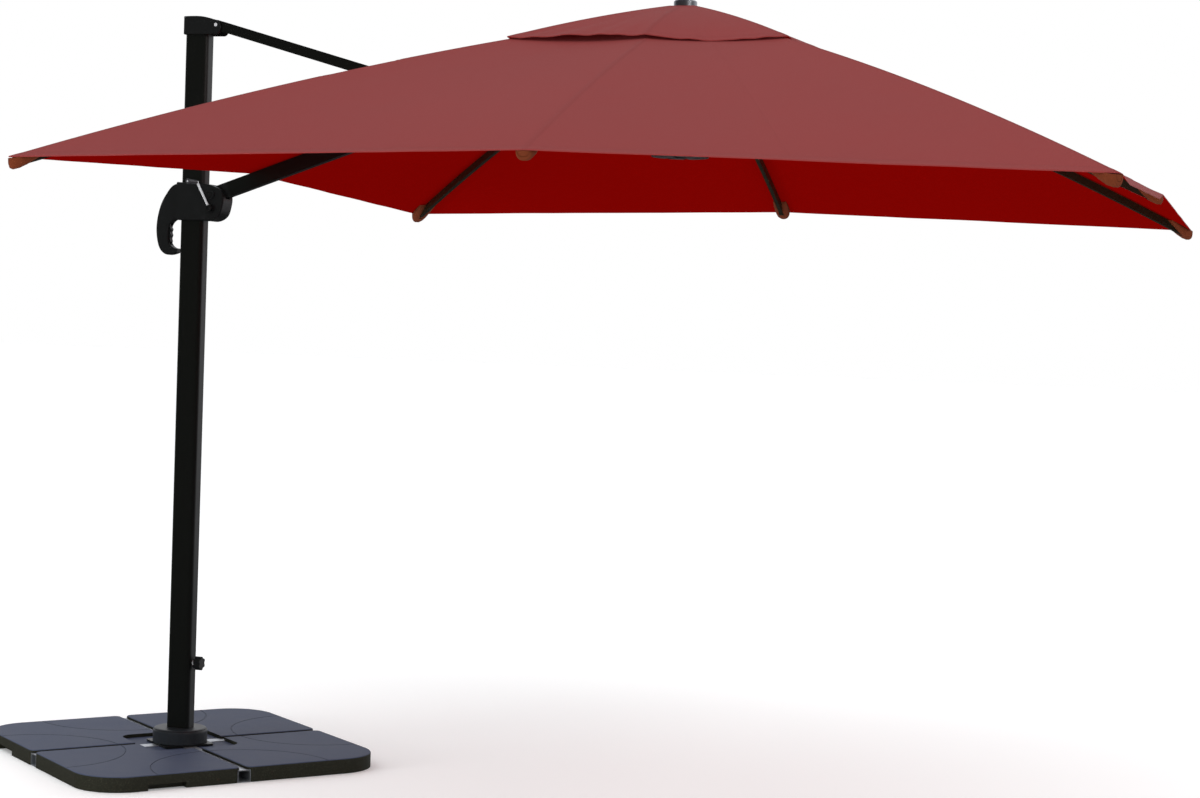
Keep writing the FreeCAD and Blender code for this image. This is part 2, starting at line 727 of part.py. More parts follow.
def build_slider():
    front, back = slider_shells()
    save("front_slider_shell", front)
    save("back_slider_shell", back)
    save("slider_liners", *slider_liners())
    save("grip_handle", grip())
    x, z = latch_pivot()
    save("latch_pin", cross_rod(x, z, latch_pin_radius, -grip_half_width + 0.5, grip_half_width - 0.5))
    save("latch_spring", latch_spring())
    save("grip_latch", latch())
    half = shell_half_depth - 2 * bolt_end_gap
    save("boom_bolt", cross_rod(pivot_offset, slider_pivot_height, pivot_bolt_radius, -half, half))
    drum = cross_rod(crank_offset_x, crank_z, drum_radius, -boom_half, boom_half)
    core = cross_rod(crank_offset_x, crank_z, drum_core_radius, -drum_groove_half, drum_groove_half)
    groove = cross_rod(crank_offset_x, crank_z, drum_radius + 1, -drum_groove_half, drum_groove_half)
    drum = drum.cut(groove.cut(core))
    shaft_end = -shell_half_depth - shaft_length
    shaft = cross_rod(crank_offset_x, crank_z, crank_shaft_radius, shaft_end, -boom_half)
    save("winch_drum", drum.fuse(shaft))
    save("crank_hub", crank_hub())
    save("crank_arm", crank_arm())
    save("crank_knob", crank_knob())


def crank_plane():
    return -shell_half_depth - crank_clearance


def crank_hub():
    """Clamp on the winch shaft that holds the crank's rod."""
    y = crank_plane()
    hub = cross_rod(crank_offset_x, crank_z, crank_hub_radius, y - 8, y + 7)
    hub = hub.makeFillet(2.0, hub.Edges)
    hub = hub.cut(cross_rod(crank_offset_x, crank_z, crank_shaft_radius, -through, 0))
    return hub.cut(crank_rod())


def crank_rod():
    """Straight rod from inside the hub to the knob."""
    y = crank_plane()
    tip_x, tip_z = crank_tip()
    start = vec(crank_offset_x, y, crank_z)
    arm = rod(start, vec(tip_x, y, tip_z), crank_arm_radius)
    return arm.cut(cross_rod(crank_offset_x, crank_z, crank_shaft_radius + 1, -through, through))


def crank_arm():
    """Rod with an eye and a pin for the knob."""
    y = crank_plane()
    tip_x, tip_z = crank_tip()
    eye = Part.makeSphere(crank_arm_radius + 1.5, vec(tip_x, y, tip_z))
    pin = cross_rod(tip_x, tip_z, knob_pin_radius, y - crank_knob_length - knob_pin_end, y)
    return crank_rod().fuse([eye, pin])


def crank_knob():
    y = crank_plane() - crank_arm_radius - 3.0
    x, z = crank_tip()
    knob = Part.makeCone(knob_root_radius, knob_end_radius, crank_knob_length, vec(x, y, z), vec(0, -1, 0))
    knob = knob.makeFillet(3.0, knob.Edges)
    return knob.cut(cross_rod(x, z, knob_pin_radius + bore_play, -through, 0))


# ---- canopy frame -------------------------------------------------------------------------
class RibShape:
    """Geometry of one rib in its own plane: r from the canopy axis, z up."""

    def __init__(self, reach, height, lift, bow, closed_slope):
        slope = (crown_height - height) / (reach - hinge_radius)
        lower = fabric_thickness + lift + rib_height / 2 * hypot(1, slope)
        self.tip_r = reach - rib_inset
        self.tip_z = height + rib_inset * slope - lower
        self.chord = hypot(self.tip_r - hinge_radius, crown_height - self.tip_z)
        self.slope = atan2(crown_height - self.tip_z, self.tip_r - hinge_radius)
        self.lift = lift
        self.bow = bow
        self.closed_slope = closed_slope

    def point(self, share, offset=0.0):
        """Point at a share of the chord, offset square to it."""
        rise = 4 * self.bow * share * (1 - share) + offset
        along = share * self.chord
        r = hinge_radius + along * cos(self.slope) + rise * sin(self.slope)
        return r, crown_height - along * sin(self.slope) + rise * cos(self.slope)

    def height_at(self, r):
        """Centre line's height at a distance from the axis."""
        share = (r - hinge_radius) / (self.tip_r - hinge_radius)
        straight = crown_height - share * (crown_height - self.tip_z)
        return straight + 4 * self.bow * share * (1 - share) / cos(self.slope)

    def pivot(self, reach):
        """Stretcher pivot (r, z) at a reach from the rib hinge."""
        return self.point(reach / (self.tip_r - hinge_radius), -bracket_drop)

    def closing(self):
        """Degrees that the rib swings down when the umbrella is folded."""
        return self.closed_slope - degrees(self.slope)


middle_rib = RibShape(half_canopy, edge_height, fabric_lift, middle_bow, middle_closed_slope)
corner_rib = RibShape(corner_reach, corner_height, ridge_lift, corner_bow, corner_closed_slope)


def runner_travel(rib, reach, share):
    """How far the runner has moved down at a share of the fold."""
    r, z = rib.pivot(reach)
    length = hypot(r - hinge_radius, crown_height - z)
    start = atan2(crown_height - z, r - hinge_radius)
    return 2 * length * (sin(start + share * radians(rib.closing())) - sin(start))


def matching_reach():
    """Corner stretcher reach that moves the runner as far as the middle ones do."""
    goal = runner_travel(middle_rib, middle_stretcher_reach, 1.0)
    low, high = middle_stretcher_reach / 2, middle_stretcher_reach * 2
    for _ in range(60):
        trial = (low + high) / 2
        if runner_travel(corner_rib, trial, 1.0) < goal:
            low = trial
        else:
            high = trial
    return low


corner_stretcher_reach = matching_reach()


def rib_of(azimuth):
    """Rib shape and stretcher reach for an azimuth."""
    if azimuth % 90 == 0:
        return middle_rib, middle_stretcher_reach
    return corner_rib, corner_stretcher_reach


def runner_level(rib, reach):
    return 2 * rib.pivot(reach)[1] - crown_height


def bowed_bar(rib, first, last, low, high, half_width):
    """Bar that follows the rib's bow between two shares of its chord."""
    middle = (first + last) / 2
    top = [rib.point(s, high) for s in (first, middle, last)]
    bottom = [rib.point(s, low) for s in (last, middle, first)]
    top = [vec(r, -half_width, z) for r, z in top]
    bottom = [vec(r, -half_width, z) for r, z in bottom]
    edges = [
        Part.Arc(*top).toShape(), Part.LineSegment(top[2], bottom[0]).toShape(),
        Part.Arc(*bottom).toShape(), Part.LineSegment(bottom[2], top[0]).toShape(),
    ]
    return Part.Face(Part.Wire(edges)).extrude(vec(0, 2 * half_width, 0))


def rib_solids(rib, reach):
    """Bar, tip cap, stretcher bracket and its pin, lying in the XZ plane."""
    half = rib_height / 2
    start = rib_bar_start / rib.chord
    cap_share = rib_cap_length / rib.chord
    bar = bowed_bar(rib, start, 1.0, -half, half, rib_width / 2)
    neck = tongue_length / rib.chord
    tongue = bowed_bar(rib, 0.0, neck, -tongue_radius, tongue_radius, tongue_half)
    eye = cross_rod(hinge_radius, crown_height, tongue_radius, -tongue_half, tongue_half)
    bar = bar.fuse([tongue, eye])
    bar = bar.cut(cross_rod(hinge_radius, crown_height, rib_pin_radius + bore_play, -through, through))
    cap = bowed_bar(rib, 1.0 - cap_share, 1.0, -half - 2, half + 1, rib_width / 2 + 2)
    r, z = rib.pivot(reach)
    share = reach / (rib.tip_r - hinge_radius)
    length = bracket_half_length / rib.chord
    pin_half = rib_width / 2 + cheek_thickness + 1.5
    pin = cross_rod(r, z, stretcher_pin_radius, -pin_half, pin_half)
    cheeks = []
    for side in (-1, 1):
        low = -bracket_drop - 2 * stretcher_pin_radius
        cheek = bowed_bar(rib, share - length, share + length, low, half / 2, cheek_thickness / 2)
        cheek.translate(vec(0, side * (rib_width + cheek_thickness) / 2, 0))
        cheeks.append(cheek.cut(pin))
    return [bar, cap.cut(bar)] + cheeks + [pin]


def stretcher_solid(rib, reach):
    r, z = rib.pivot(reach)
    low = runner_level(rib, reach)
    bar = strip([(r, z), (hinge_radius, low)], stretcher_height, -tongue_half, tongue_half)
    eye = cross_rod(hinge_radius, low, stretcher_eye_radius, -tongue_half, tongue_half)
    bar = bar.fuse(eye).removeSplitter()
    bar = bar.cut(cross_rod(r, z, stretcher_pin_radius + bore_play, -through, through))
    return bar.cut(cross_rod(hinge_radius, low, rib_pin_radius + open_play, -through, through))


def slotted_ring(level, thickness, bore):
    """Hub ring with a radial slot for every rib."""
    ring = upright(crown_radius, level - thickness / 2, level + thickness / 2)
    rims = [e for e in ring.Edges if e.BoundBox.ZLength < 0.1]
    ring = ring.makeFillet(3.0, rims)
    if bore > 0:
        ring = ring.cut(upright(bore, 0, level + thickness))
    for azimuth in rib_azimuths.values():
        slot = block(hinge_radius - slot_depth, crown_radius + 1, -slot_half, slot_half, 0, level + thickness)
        ring = ring.cut(turned(slot, azimuth))
    return ring


def hub_pins(level, azimuths):
    half = slot_half + rib_pin_end
    pin = cross_rod(hinge_radius, level, rib_pin_radius, -half, half)
    return [turned(pin, azimuth, hub_x) for azimuth in azimuths]


def crown():
    ring = slotted_ring(crown_height, crown_thickness, 0)
    half = tongue_arm_half
    drop = boom_end_z - crown_height
    arm = strip([(-boom_end_reach, drop), (-hinge_radius, 0)], crown_arm_height, -half, half)
    arm.translate(vec(0, 0, crown_height))
    bolt_bore = cross_rod(-boom_end_reach, boom_end_z, pivot_bolt_radius + bore_play, -through, through)
    body = ring.fuse(arm).cut(bolt_bore)
    half = slot_half + rib_pin_end
    for azimuth in rib_azimuths.values():
        pin = cross_rod(hinge_radius, crown_height, rib_pin_radius, -half, half)
        body = body.cut(turned(pin, azimuth))
    stud_hole = upright(stud_radius, crown_height - stud_depth, apex_height)
    return turned(body.cut(stud_hole), 0, hub_x)


def runner():
    low = runner_level(middle_rib, middle_stretcher_reach)
    high = runner_level(corner_rib, corner_stretcher_reach)
    half = runner_thickness / 2
    lower = slotted_ring(low, runner_thickness, runner_bore)
    upper = slotted_ring(high, runner_thickness, runner_bore)
    sleeve = upright(sleeve_radius, low - half, high + half).cut(upright(runner_bore, 0, high + through))
    body = lower.fuse([upper, sleeve]).removeSplitter()
    for azimuth in rib_azimuths.values():
        level = low if azimuth % 90 == 0 else high
        pin_half = slot_half + rib_pin_end
        pin = cross_rod(hinge_radius, level, rib_pin_radius, -pin_half, pin_half)
        body = body.cut(turned(pin, azimuth))
    return turned(body, 0, hub_x)


def build_canopy_frame():
    save("crown", crown())
    save("rib_pins", *hub_pins(crown_height, rib_azimuths.values()))
    save("runner", runner())
    pins = []
    for azimuth in rib_azimuths.values():
        rib, reach = rib_of(azimuth)
        pins += hub_pins(runner_level(rib, reach), [azimuth])
    save("stretcher_pins", *pins)
    for name, azimuth in rib_azimuths.items():
        rib, reach = rib_of(azimuth)
        save("rib_" + name, *[turned(s, azimuth, hub_x) for s in rib_solids(rib, reach)])
        save("stretcher_" + name, turned(stretcher_solid(rib, reach), azimuth, hub_x))
    low = apex_height + finial_lift
    stud = upright(stud_radius, crown_height - stud_depth, low + stud_radius)
    dome = upright(finial_radius, low, low + finial_height)
    rim = [e for e in dome.Edges if e.BoundBox.ZMin > low + 1 and e.BoundBox.ZLength < 1]
    dome = dome.makeFillet(finial_edge_round, rim)
    save("finial_cap", turned(dome.fuse(stud), 0, hub_x))


# ---- canopy -------------------------------------------------------------------------------
def fabric_height(azimuth, r):
    """Top of the canopy over a rib, or over the boom on the mast's side."""
    if azimuth == 180:
        rise = (hub_x - r - pivot_offset) * tan(radians(boom_slope))
        centre = slider_pivot_height + rise
        half = boom_height / 2 / cos(radians(boom_slope))
        lift = fabric_lift
    else:
        rib = rib_of(azimuth)[0]
        centre = rib.height_at(r)
        half = rib_height / 2 / cos(rib.slope)
        lift = rib.lift
    return centre + half + lift + fabric_thickness


def square_ring(share, height_of):
    """Eight points of a square ring, corners and middles of its sides."""
    points = []
    for azimuth in range(-135, 181, 45):
        r = share * (half_canopy if azimuth % 90 == 0 else corner_reach)
        a = radians(azimuth)
        points.append(vec(hub_x + r * cos(a), r * sin(a), height_of(azimuth, r)))
    return points


def sheet_solid(rings):
    """Closed thin solid under rings of points."""
    down = vec(0, 0, -fabric_thickness)
    lower = [[p + down for p in ring] for ring in rings]
    faces = []

    def quad(a, b, c, d):
        for corners in ((a, b, c), (a, c, d)):
            faces.append(Part.Face(Part.makePolygon(list(corners) + [corners[0]])))

    count = len(rings[0])
    for i in range(count):
        j = (i + 1) % count
        for inner, outer in zip(rings, rings[1:]):
            quad(inner[i], outer[i], outer[j], inner[j])
        for inner, outer in zip(lower, lower[1:]):
            quad(inner[i], outer[i], outer[j], inner[j])
        quad(rings[0][i], lower[0][i], lower[0][j], rings[0][j])
        quad(rings[-1][i], lower[-1][i], lower[-1][j], rings[-1][j])
    shell = Part.Shell(faces)
    shell.sewShape()
    return Part.Solid(shell)


def vent_height(azimuth, r):
    """Second tier: straight from the apex to its lifted edge."""
    if azimuth % 90 == 0:
        edge_r, lift = vent_share * half_canopy, vent_edge_lift
    else:
        edge_r, lift = vent_share * corner_reach, vent_corner_lift
    edge = fabric_height(azimuth, edge_r) + lift
    return apex_height - (apex_height - edge) * r / edge_r


def build_canopy():
    steps = 5
    shares = [vent_hole_share + (1 - vent_hole_share) * i / steps for i in range(steps + 1)]
    main = sheet_solid([square_ring(s, fabric_height) for s in shares])
    slit = block(knee_x - 140, knee_x + 40, -tie_outer - 9, tie_outer + 9, 0, 3000)
    save("canopy", main.cut(slit))
    hole = 9.0 / half_canopy
    tiers = [square_ring(s, vent_height) for s in (hole, vent_share / 2, vent_share)]
    save("vent_canopy", sheet_solid(tiers))


os.makedirs("parts", exist_ok=True)
build_base()
build_mast()
build_tie()
build_boom()
build_slider()
build_canopy_frame()
build_canopy()
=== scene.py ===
import bpy
import json
import math
from mathutils import Matrix, Vector, noise


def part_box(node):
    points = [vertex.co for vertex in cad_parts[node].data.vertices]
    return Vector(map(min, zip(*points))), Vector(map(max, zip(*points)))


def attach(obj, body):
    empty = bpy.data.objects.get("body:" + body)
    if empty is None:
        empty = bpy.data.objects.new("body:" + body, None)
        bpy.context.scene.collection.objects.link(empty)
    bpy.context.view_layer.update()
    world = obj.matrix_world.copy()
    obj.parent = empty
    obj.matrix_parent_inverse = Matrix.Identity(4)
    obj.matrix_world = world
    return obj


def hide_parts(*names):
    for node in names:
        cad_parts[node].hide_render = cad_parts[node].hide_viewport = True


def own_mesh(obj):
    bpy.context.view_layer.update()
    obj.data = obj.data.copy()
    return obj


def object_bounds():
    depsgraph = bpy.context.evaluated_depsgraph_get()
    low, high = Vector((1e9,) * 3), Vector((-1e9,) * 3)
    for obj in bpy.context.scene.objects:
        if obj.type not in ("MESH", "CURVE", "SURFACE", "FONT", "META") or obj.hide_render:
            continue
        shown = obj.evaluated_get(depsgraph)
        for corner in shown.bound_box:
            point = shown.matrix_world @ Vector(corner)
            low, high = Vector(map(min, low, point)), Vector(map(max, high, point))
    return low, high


# Cantilever umbrella on a four-plate base, in metres.
# The hard pieces come from the frame. The cloth, its rib pockets and two pivot covers are made here.

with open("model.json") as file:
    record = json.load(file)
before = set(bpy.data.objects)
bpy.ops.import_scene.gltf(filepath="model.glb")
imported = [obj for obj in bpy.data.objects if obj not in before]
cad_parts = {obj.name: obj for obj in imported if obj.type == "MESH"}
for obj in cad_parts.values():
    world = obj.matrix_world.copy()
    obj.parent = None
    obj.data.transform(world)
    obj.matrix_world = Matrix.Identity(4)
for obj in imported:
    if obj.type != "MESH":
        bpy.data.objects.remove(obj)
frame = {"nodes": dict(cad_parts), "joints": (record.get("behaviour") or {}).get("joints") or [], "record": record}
cadLow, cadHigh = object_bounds()
cadNodes = frame["nodes"]
subparts = frame["record"]["subparts"]
jointOf = {j["name"]: j for j in frame["joints"]}


def jointPlace(name):
    return Vector(jointOf[name]["pos_m"])


def boxMiddle(name):
    low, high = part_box(name)
    return (low + high) / 2


def linkObject(name, data):
    made = bpy.data.objects.new(name, data)
    bpy.context.scene.collection.objects.link(made)
    return made


print("frame loaded", len(cadNodes))

# node helpers


def addNode(tree, kind, **settings):
    made = tree.nodes.new(kind)
    for key, value in settings.items():
        if key in made.inputs:
            made.inputs[key].default_value = value
        else:
            setattr(made, key, value)
    return made


def joinUp(tree, *pairs):
    for source, target in pairs:
        tree.links.new(source, target)


def startGroup(name, inputs, outputs):      # inputs and outputs are (name, kind, default) rows
    group = bpy.data.node_groups.new(name, "ShaderNodeTree")
    for direction, rows in (("INPUT", inputs), ("OUTPUT", outputs)):
        for label, kind, value in rows:
            socket = group.interface.new_socket(name=label, in_out=direction, socket_type="NodeSocket" + kind)
            if value is not None:
                socket.default_value = value
    return group, group.nodes.new("NodeGroupInput"), group.nodes.new("NodeGroupOutput")


def maths(tree, operation, first, second=None, clamp=False):
    made = addNode(tree, "ShaderNodeMath", operation=operation, use_clamp=clamp)
    for index, value in enumerate((first, second)):
        if value is None:
            continue
        if isinstance(value, (int, float)):
            made.inputs[index].default_value = value
        else:
            tree.links.new(value, made.inputs[index])
    return made.outputs[0]


def times(tree, first, second, clamp=False):
    return maths(tree, "MULTIPLY", first, second, clamp)


def between(tree, value, low, high):        # 0 below low, 1 above high
    made = addNode(tree, "ShaderNodeMapRange", interpolation_type="SMOOTHSTEP")
    tree.links.new(value, made.inputs["Value"])
    made.inputs["From Min"].default_value = low
    made.inputs["From Max"].default_value = high
    return made.outputs["Result"]


def inverse(tree, value):
    return maths(tree, "SUBTRACT", 1.0, value)


def tintMix(tree, share, first, second):
    made = addNode(tree, "ShaderNodeMix", data_type="RGBA")
    for socket, value in ((made.inputs[0], share), (made.inputs[6], first), (made.inputs[7], second)):
        if isinstance(value, (int, float, tuple)):
            socket.default_value = value
        else:
            tree.links.new(value, socket)
    return made.outputs[2]


def objectNoise(tree, **settings):          # noise that stays with the object
    made = addNode(tree, "ShaderNodeTexNoise", **settings)
    place = addNode(tree, "ShaderNodeTexCoord")
    tree.links.new(place.outputs["Object"], made.inputs["Vector"])
    return made


# effects that several materials share, each a node group

mottleLook = {"quickScale": 9.0, "slowShare": 0.65, "quickShare": 0.35, "gain": 2.0}


def makeMottle():       # slow and quick changes of tone over a surface
    rows = [("Tone", "Color", (0.5, 0.5, 0.5, 1)), ("Strength", "Float", 0.1), ("Size", "Float", 3.0)]
    group, enter, leave = startGroup("mottle", rows, [("Color", "Color", None), ("Mask", "Float", None)])
    slow = objectNoise(group, Detail=3.0)
    quick = objectNoise(group, Detail=2.0)
    quickScale = times(group, enter.outputs["Size"], mottleLook["quickScale"])
    joinUp(group, (enter.outputs["Size"], slow.inputs["Scale"]), (quickScale, quick.inputs["Scale"]))
    mixed = maths(group, "ADD", times(group, slow.outputs[0], mottleLook["slowShare"]),
                  times(group, quick.outputs[0], mottleLook["quickShare"]))
    centred = times(group, maths(group, "SUBTRACT", mixed, 0.5), enter.outputs["Strength"])
    factor = maths(group, "ADD", times(group, centred, mottleLook["gain"]), 1.0)
    scaled = addNode(group, "ShaderNodeVectorMath", operation="SCALE")
    joinUp(group, (enter.outputs["Tone"], scaled.inputs[0]), (factor, scaled.inputs["Scale"]),
           (scaled.outputs[0], leave.inputs["Color"]), (mixed, leave.inputs["Mask"]))
    return group


grainLook = {"roughScale": 0.6, "roughDetail": 4.0}


def makeGrain():        # fine moulded or sprayed grain as a height
    rows = [("Grain", "Float", 900.0), ("Depth", "Float", 1.0)]
    group, enter, leave = startGroup("surfaceGrain", rows, [("Height", "Float", None)])
    place = addNode(group, "ShaderNodeTexCoord")
    cells = addNode(group, "ShaderNodeTexVoronoi", feature="SMOOTH_F1")
    rough = objectNoise(group, Detail=grainLook["roughDetail"])
    joinUp(group, (place.outputs["Object"], cells.inputs["Vector"]),
           (enter.outputs["Grain"], cells.inputs["Scale"]),
           (times(group, enter.outputs["Grain"], grainLook["roughScale"]), rough.inputs["Scale"]))
    total = maths(group, "ADD", cells.outputs["Distance"], rough.outputs[0])
    joinUp(group, (times(group, total, enter.outputs["Depth"]), leave.inputs["Height"]))
    return group


wearLook = {"patchScale": 38.0, "patchDetail": 5.0, "edgeGain": 14.0, "patchGain": 5.0}


def makeEdgeWear():     # 1 where an outer edge is rubbed, broken up by noise
    rows = [("Reach", "Float", 0.56), ("Patchiness", "Float", 0.5)]
    group, enter, leave = startGroup("edgeWear", rows, [("Mask", "Float", None)])
    shape = addNode(group, "ShaderNodeNewGeometry")
    patches = objectNoise(group, Scale=wearLook["patchScale"], Detail=wearLook["patchDetail"])
    past = maths(group, "SUBTRACT", shape.outputs["Pointiness"], enter.outputs["Reach"])
    convex = times(group, past, wearLook["edgeGain"], True)
    broken = maths(group, "SUBTRACT", patches.outputs[0], enter.outputs["Patchiness"])
    worn = times(group, convex, times(group, broken, wearLook["patchGain"], True), True)
    joinUp(group, (worn, leave.inputs["Mask"]))
    return group


dustLook = {"cloudScale": 7.0, "cloudDetail": 7.0, "cloudRoughness": 0.65,
            "upward": (0.55, 0.95), "cloudy": (0.35, 0.75)}


def makeDust():         # thin dust on faces that look up
    group, enter, leave = startGroup("restingDust", [("Amount", "Float", 0.3)], [("Mask", "Float", None)])
    shape = addNode(group, "ShaderNodeNewGeometry")
    split = addNode(group, "ShaderNodeSeparateXYZ")
    clouds = objectNoise(group, Scale=dustLook["cloudScale"], Detail=dustLook["cloudDetail"],
                         Roughness=dustLook["cloudRoughness"])
    joinUp(group, (shape.outputs["Normal"], split.inputs[0]))
    upward = between(group, split.outputs["Z"], *dustLook["upward"])
    cloudy = between(group, clouds.outputs[0], *dustLook["cloudy"])
    joinUp(group, (times(group, times(group, upward, cloudy), enter.outputs["Amount"]), leave.inputs["Mask"]))
    return group


weaveLook = {"threadDepth": 0.5, "slubScale": 160.0, "slubDetail": 3.0}


def makeWeave():        # plain weave from two crossed thread waves
    rows = [("Threads", "Float", 700.0)]
    group, enter, leave = startGroup("plainWeave", rows, [("Height", "Float", None), ("Mask", "Float", None)])
    place = addNode(group, "ShaderNodeTexCoord")
    split = addNode(group, "ShaderNodeSeparateXYZ")
    joinUp(group, (place.outputs["Object"], split.inputs[0]))
    waves = []
    for axis in ("X", "Y"):
        turns = times(group, split.outputs[axis], enter.outputs["Threads"])
        waves.append(maths(group, "SINE", times(group, turns, math.tau)))
    crossing = times(group, times(group, waves[0], waves[1]), weaveLook["threadDepth"])
    slub = objectNoise(group, Scale=weaveLook["slubScale"], Detail=weaveLook["slubDetail"])
    joinUp(group, (maths(group, "ADD", crossing, slub.outputs[0]), leave.inputs["Height"]),
           (maths(group, "ADD", crossing, 0.5), leave.inputs["Mask"]))
    return group


stitchLook = {"threadHalf": (0.0005, 0.0013), "perMetre": 220.0, "dash": 0.72, "pucker": 0.014, "sink": 0.6}


# two rows of stitches beside a line: Gap is the distance from it, Run the distance along it
def makeStitchLines():
    rows = [("Gap", "Float", 0.0), ("Run", "Float", 0.0)]
    rows += [("First", "Float", 0.004), ("Second", "Float", 0.009)]
    group, enter, leave = startGroup("stitchRows", rows, [("Mask", "Float", None), ("Height", "Float", None)])
    far = maths(group, "ABSOLUTE", enter.outputs["Gap"])
    threads = []
    for row in ("First", "Second"):
        off = maths(group, "ABSOLUTE", maths(group, "SUBTRACT", far, enter.outputs[row]))
        threads.append(inverse(group, between(group, off, *stitchLook["threadHalf"])))
    both = maths(group, "MAXIMUM", threads[0], threads[1])
    beat = maths(group, "FRACT", times(group, enter.outputs["Run"], stitchLook["perMetre"]))
    stitched = times(group, both, maths(group, "LESS_THAN", beat, stitchLook["dash"]))
    pucker = inverse(group, between(group, far, 0.0, stitchLook["pucker"]))
    height = maths(group, "SUBTRACT", pucker, times(group, both, stitchLook["sink"]))
    joinUp(group, (stitched, leave.inputs["Mask"]), (height, leave.inputs["Height"]))
    return group


effects = {
    "mottle": makeMottle(), "grain": makeGrain(), "wear": makeEdgeWear(),
    "dust": makeDust(), "weave": makeWeave(), "stitches": makeStitchLines(),
}


def useEffect(tree, key, **values):
    made = tree.nodes.new("ShaderNodeGroup")
    made.node_tree = effects[key]
    for label, value in values.items():
        if hasattr(value, "is_linked"):
            tree.links.new(value, made.inputs[label])
        else:
            made.inputs[label].default_value = value
    return made


# finishes of the hard pieces


def rgba(colour, scale=1.0):
    return (*(part * scale for part in colour), 1.0)


def startMaterial(name, settings):
    material = bpy.data.materials.new(name)
    material.use_nodes = True
    shader = material.node_tree.nodes["Principled BSDF"]
    for label, value in settings.items():
        shader.inputs[label].default_value = value
    return material, material.node_tree, shader


hardLook = {
    "patch": 4.0, "reach": 0.56, "patchiness": 0.52,
    "dustColour": (0.36, 0.34, 0.31), "dustRough": 0.4, "bumpDepth": 0.0004,
    # normal heights over which the painted shade on upright faces gives way to the lighter top
    "speckScale": 340.0, "speckDetail": 2.0, "specks": (0.5, 0.72), "speckLight": 3.4, "upright": (0.25, 0.8),
}


def uprightTone(tree, top, look):       # upright faces darker and speckled as painted shade, top faces lighter as painted light
    facing = addNode(tree, "ShaderNodeSeparateXYZ")
    shape = addNode(tree, "ShaderNodeNewGeometry")
    specks = objectNoise(tree, Scale=hardLook["speckScale"], Detail=hardLook["speckDetail"])
    joinUp(tree, (shape.outputs["Normal"], facing.inputs[0]))
    speckle = times(tree, between(tree, specks.outputs[0], *hardLook["specks"]), look["speckle"])
    # painted shade: the dark side colour, with lighter specks
    side = tintMix(tree, speckle, rgba(look["side"]), rgba(look["side"], hardLook["speckLight"]))
    return tintMix(tree, between(tree, facing.outputs["Z"], *hardLook["upright"]), side, top)


def hardFinish(name, colour, bare, look):       # mottled colour, rubbed edges, dust and a fine grain, and on the plates painted shade on upright faces
    settings = {"Metallic": look.get("metal", 0.0), "Specular IOR Level": look["gloss"]}
    material, tree, shader = startMaterial(name, settings)
    tone = useEffect(tree, "mottle", Tone=rgba(colour), Strength=look["mottle"],
                     Size=look.get("patch", hardLook["patch"]))
    wear = useEffect(tree, "wear", Reach=look.get("reach", hardLook["reach"]),
                     Patchiness=hardLook["patchiness"])
    dust = useEffect(tree, "dust", Amount=look["dust"])
    rubbedAndSideShade = tintMix(tree, times(tree, wear.outputs["Mask"], look["wear"]), tone.outputs["Color"], rgba(bare))
    # plates only: painted shade on upright faces, painted light on top faces
    if "side" in look:
        rubbedAndSideShade = uprightTone(tree, rubbedAndSideShade, look)
    dusty = tintMix(tree, dust.outputs["Mask"], rubbedAndSideShade, rgba(hardLook["dustColour"]))
    spread = times(tree, maths(tree, "SUBTRACT", tone.outputs["Mask"], 0.5), look["roughSpread"])
    dustRough = times(tree, dust.outputs["Mask"], hardLook["dustRough"])
    rough = maths(tree, "ADD", maths(tree, "ADD", spread, look["rough"]), dustRough, True)
    grain = useEffect(tree, "grain", Grain=look["grain"], Depth=1.0)
    bump = addNode(tree, "ShaderNodeBump", Strength=look["bump"], Distance=hardLook["bumpDepth"])
    joinUp(tree, (dusty, shader.inputs["Base Color"]), (rough, shader.inputs["Roughness"]),
           (grain.outputs["Height"], bump.inputs["Height"]), (bump.outputs[0], shader.inputs["Normal"]))
    return material


powderCoat = {"mottle": 0.10, "wear": 0.0, "dust": 0.004, "rough": 0.42, "roughSpread": 0.16,
              "grain": 1500.0, "bump": 0.1, "gloss": 0.4}
satinBlack = {"mottle": 0.12, "wear": 0.15, "dust": 0.012, "rough": 0.44, "roughSpread": 0.2,
              "grain": 1100.0, "bump": 0.12, "gloss": 0.4, "reach": 0.6}
greyMould = {"mottle": 0.10, "wear": 0.2, "dust": 0.02, "rough": 0.42, "roughSpread": 0.15,
             "grain": 900.0, "bump": 0.15, "gloss": 0.25, "reach": 0.6}
# side is the darker colour of upright faces, painted shade
plateSkin = {"mottle": 0.12, "wear": 0.12, "dust": 0.03, "rough": 0.55, "roughSpread": 0.16,
             "grain": 420.0, "bump": 0.5, "gloss": 0.1, "patch": 2.5, "reach": 0.6,
             "side": (0.017, 0.0172, 0.0118), "speckle": 0.5}
zincSkin = {"mottle": 0.22, "wear": 0.0, "dust": 0.1, "rough": 0.42, "roughSpread": 0.3,
            "grain": 240.0, "bump": 0.12, "gloss": 0.5, "metal": 0.9, "patch": 30.0}
polished = {"mottle": 0.05, "wear": 0.0, "dust": 0.03, "rough": 0.26, "roughSpread": 0.12,
            "grain": 900.0, "bump": 0.06, "gloss": 0.5, "metal": 0.45}
brushed = {"mottle": 0.10, "wear": 0.0, "dust": 0.02, "rough": 0.38, "roughSpread": 0.12,
           "grain": 500.0, "bump": 0.08, "gloss": 0.5, "metal": 1.0}
dullMould = {"mottle": 0.06, "wear": 0.0, "dust": 0.05, "rough": 0.5, "roughSpread": 0.1,
             "grain": 700.0, "bump": 0.1, "gloss": 0.4}
cementSkin = {"mottle": 0.25, "wear": 0.0, "dust": 0.2, "rough": 0.85, "roughSpread": 0.1,
              "grain": 160.0, "bump": 0.6, "gloss": 0.3}

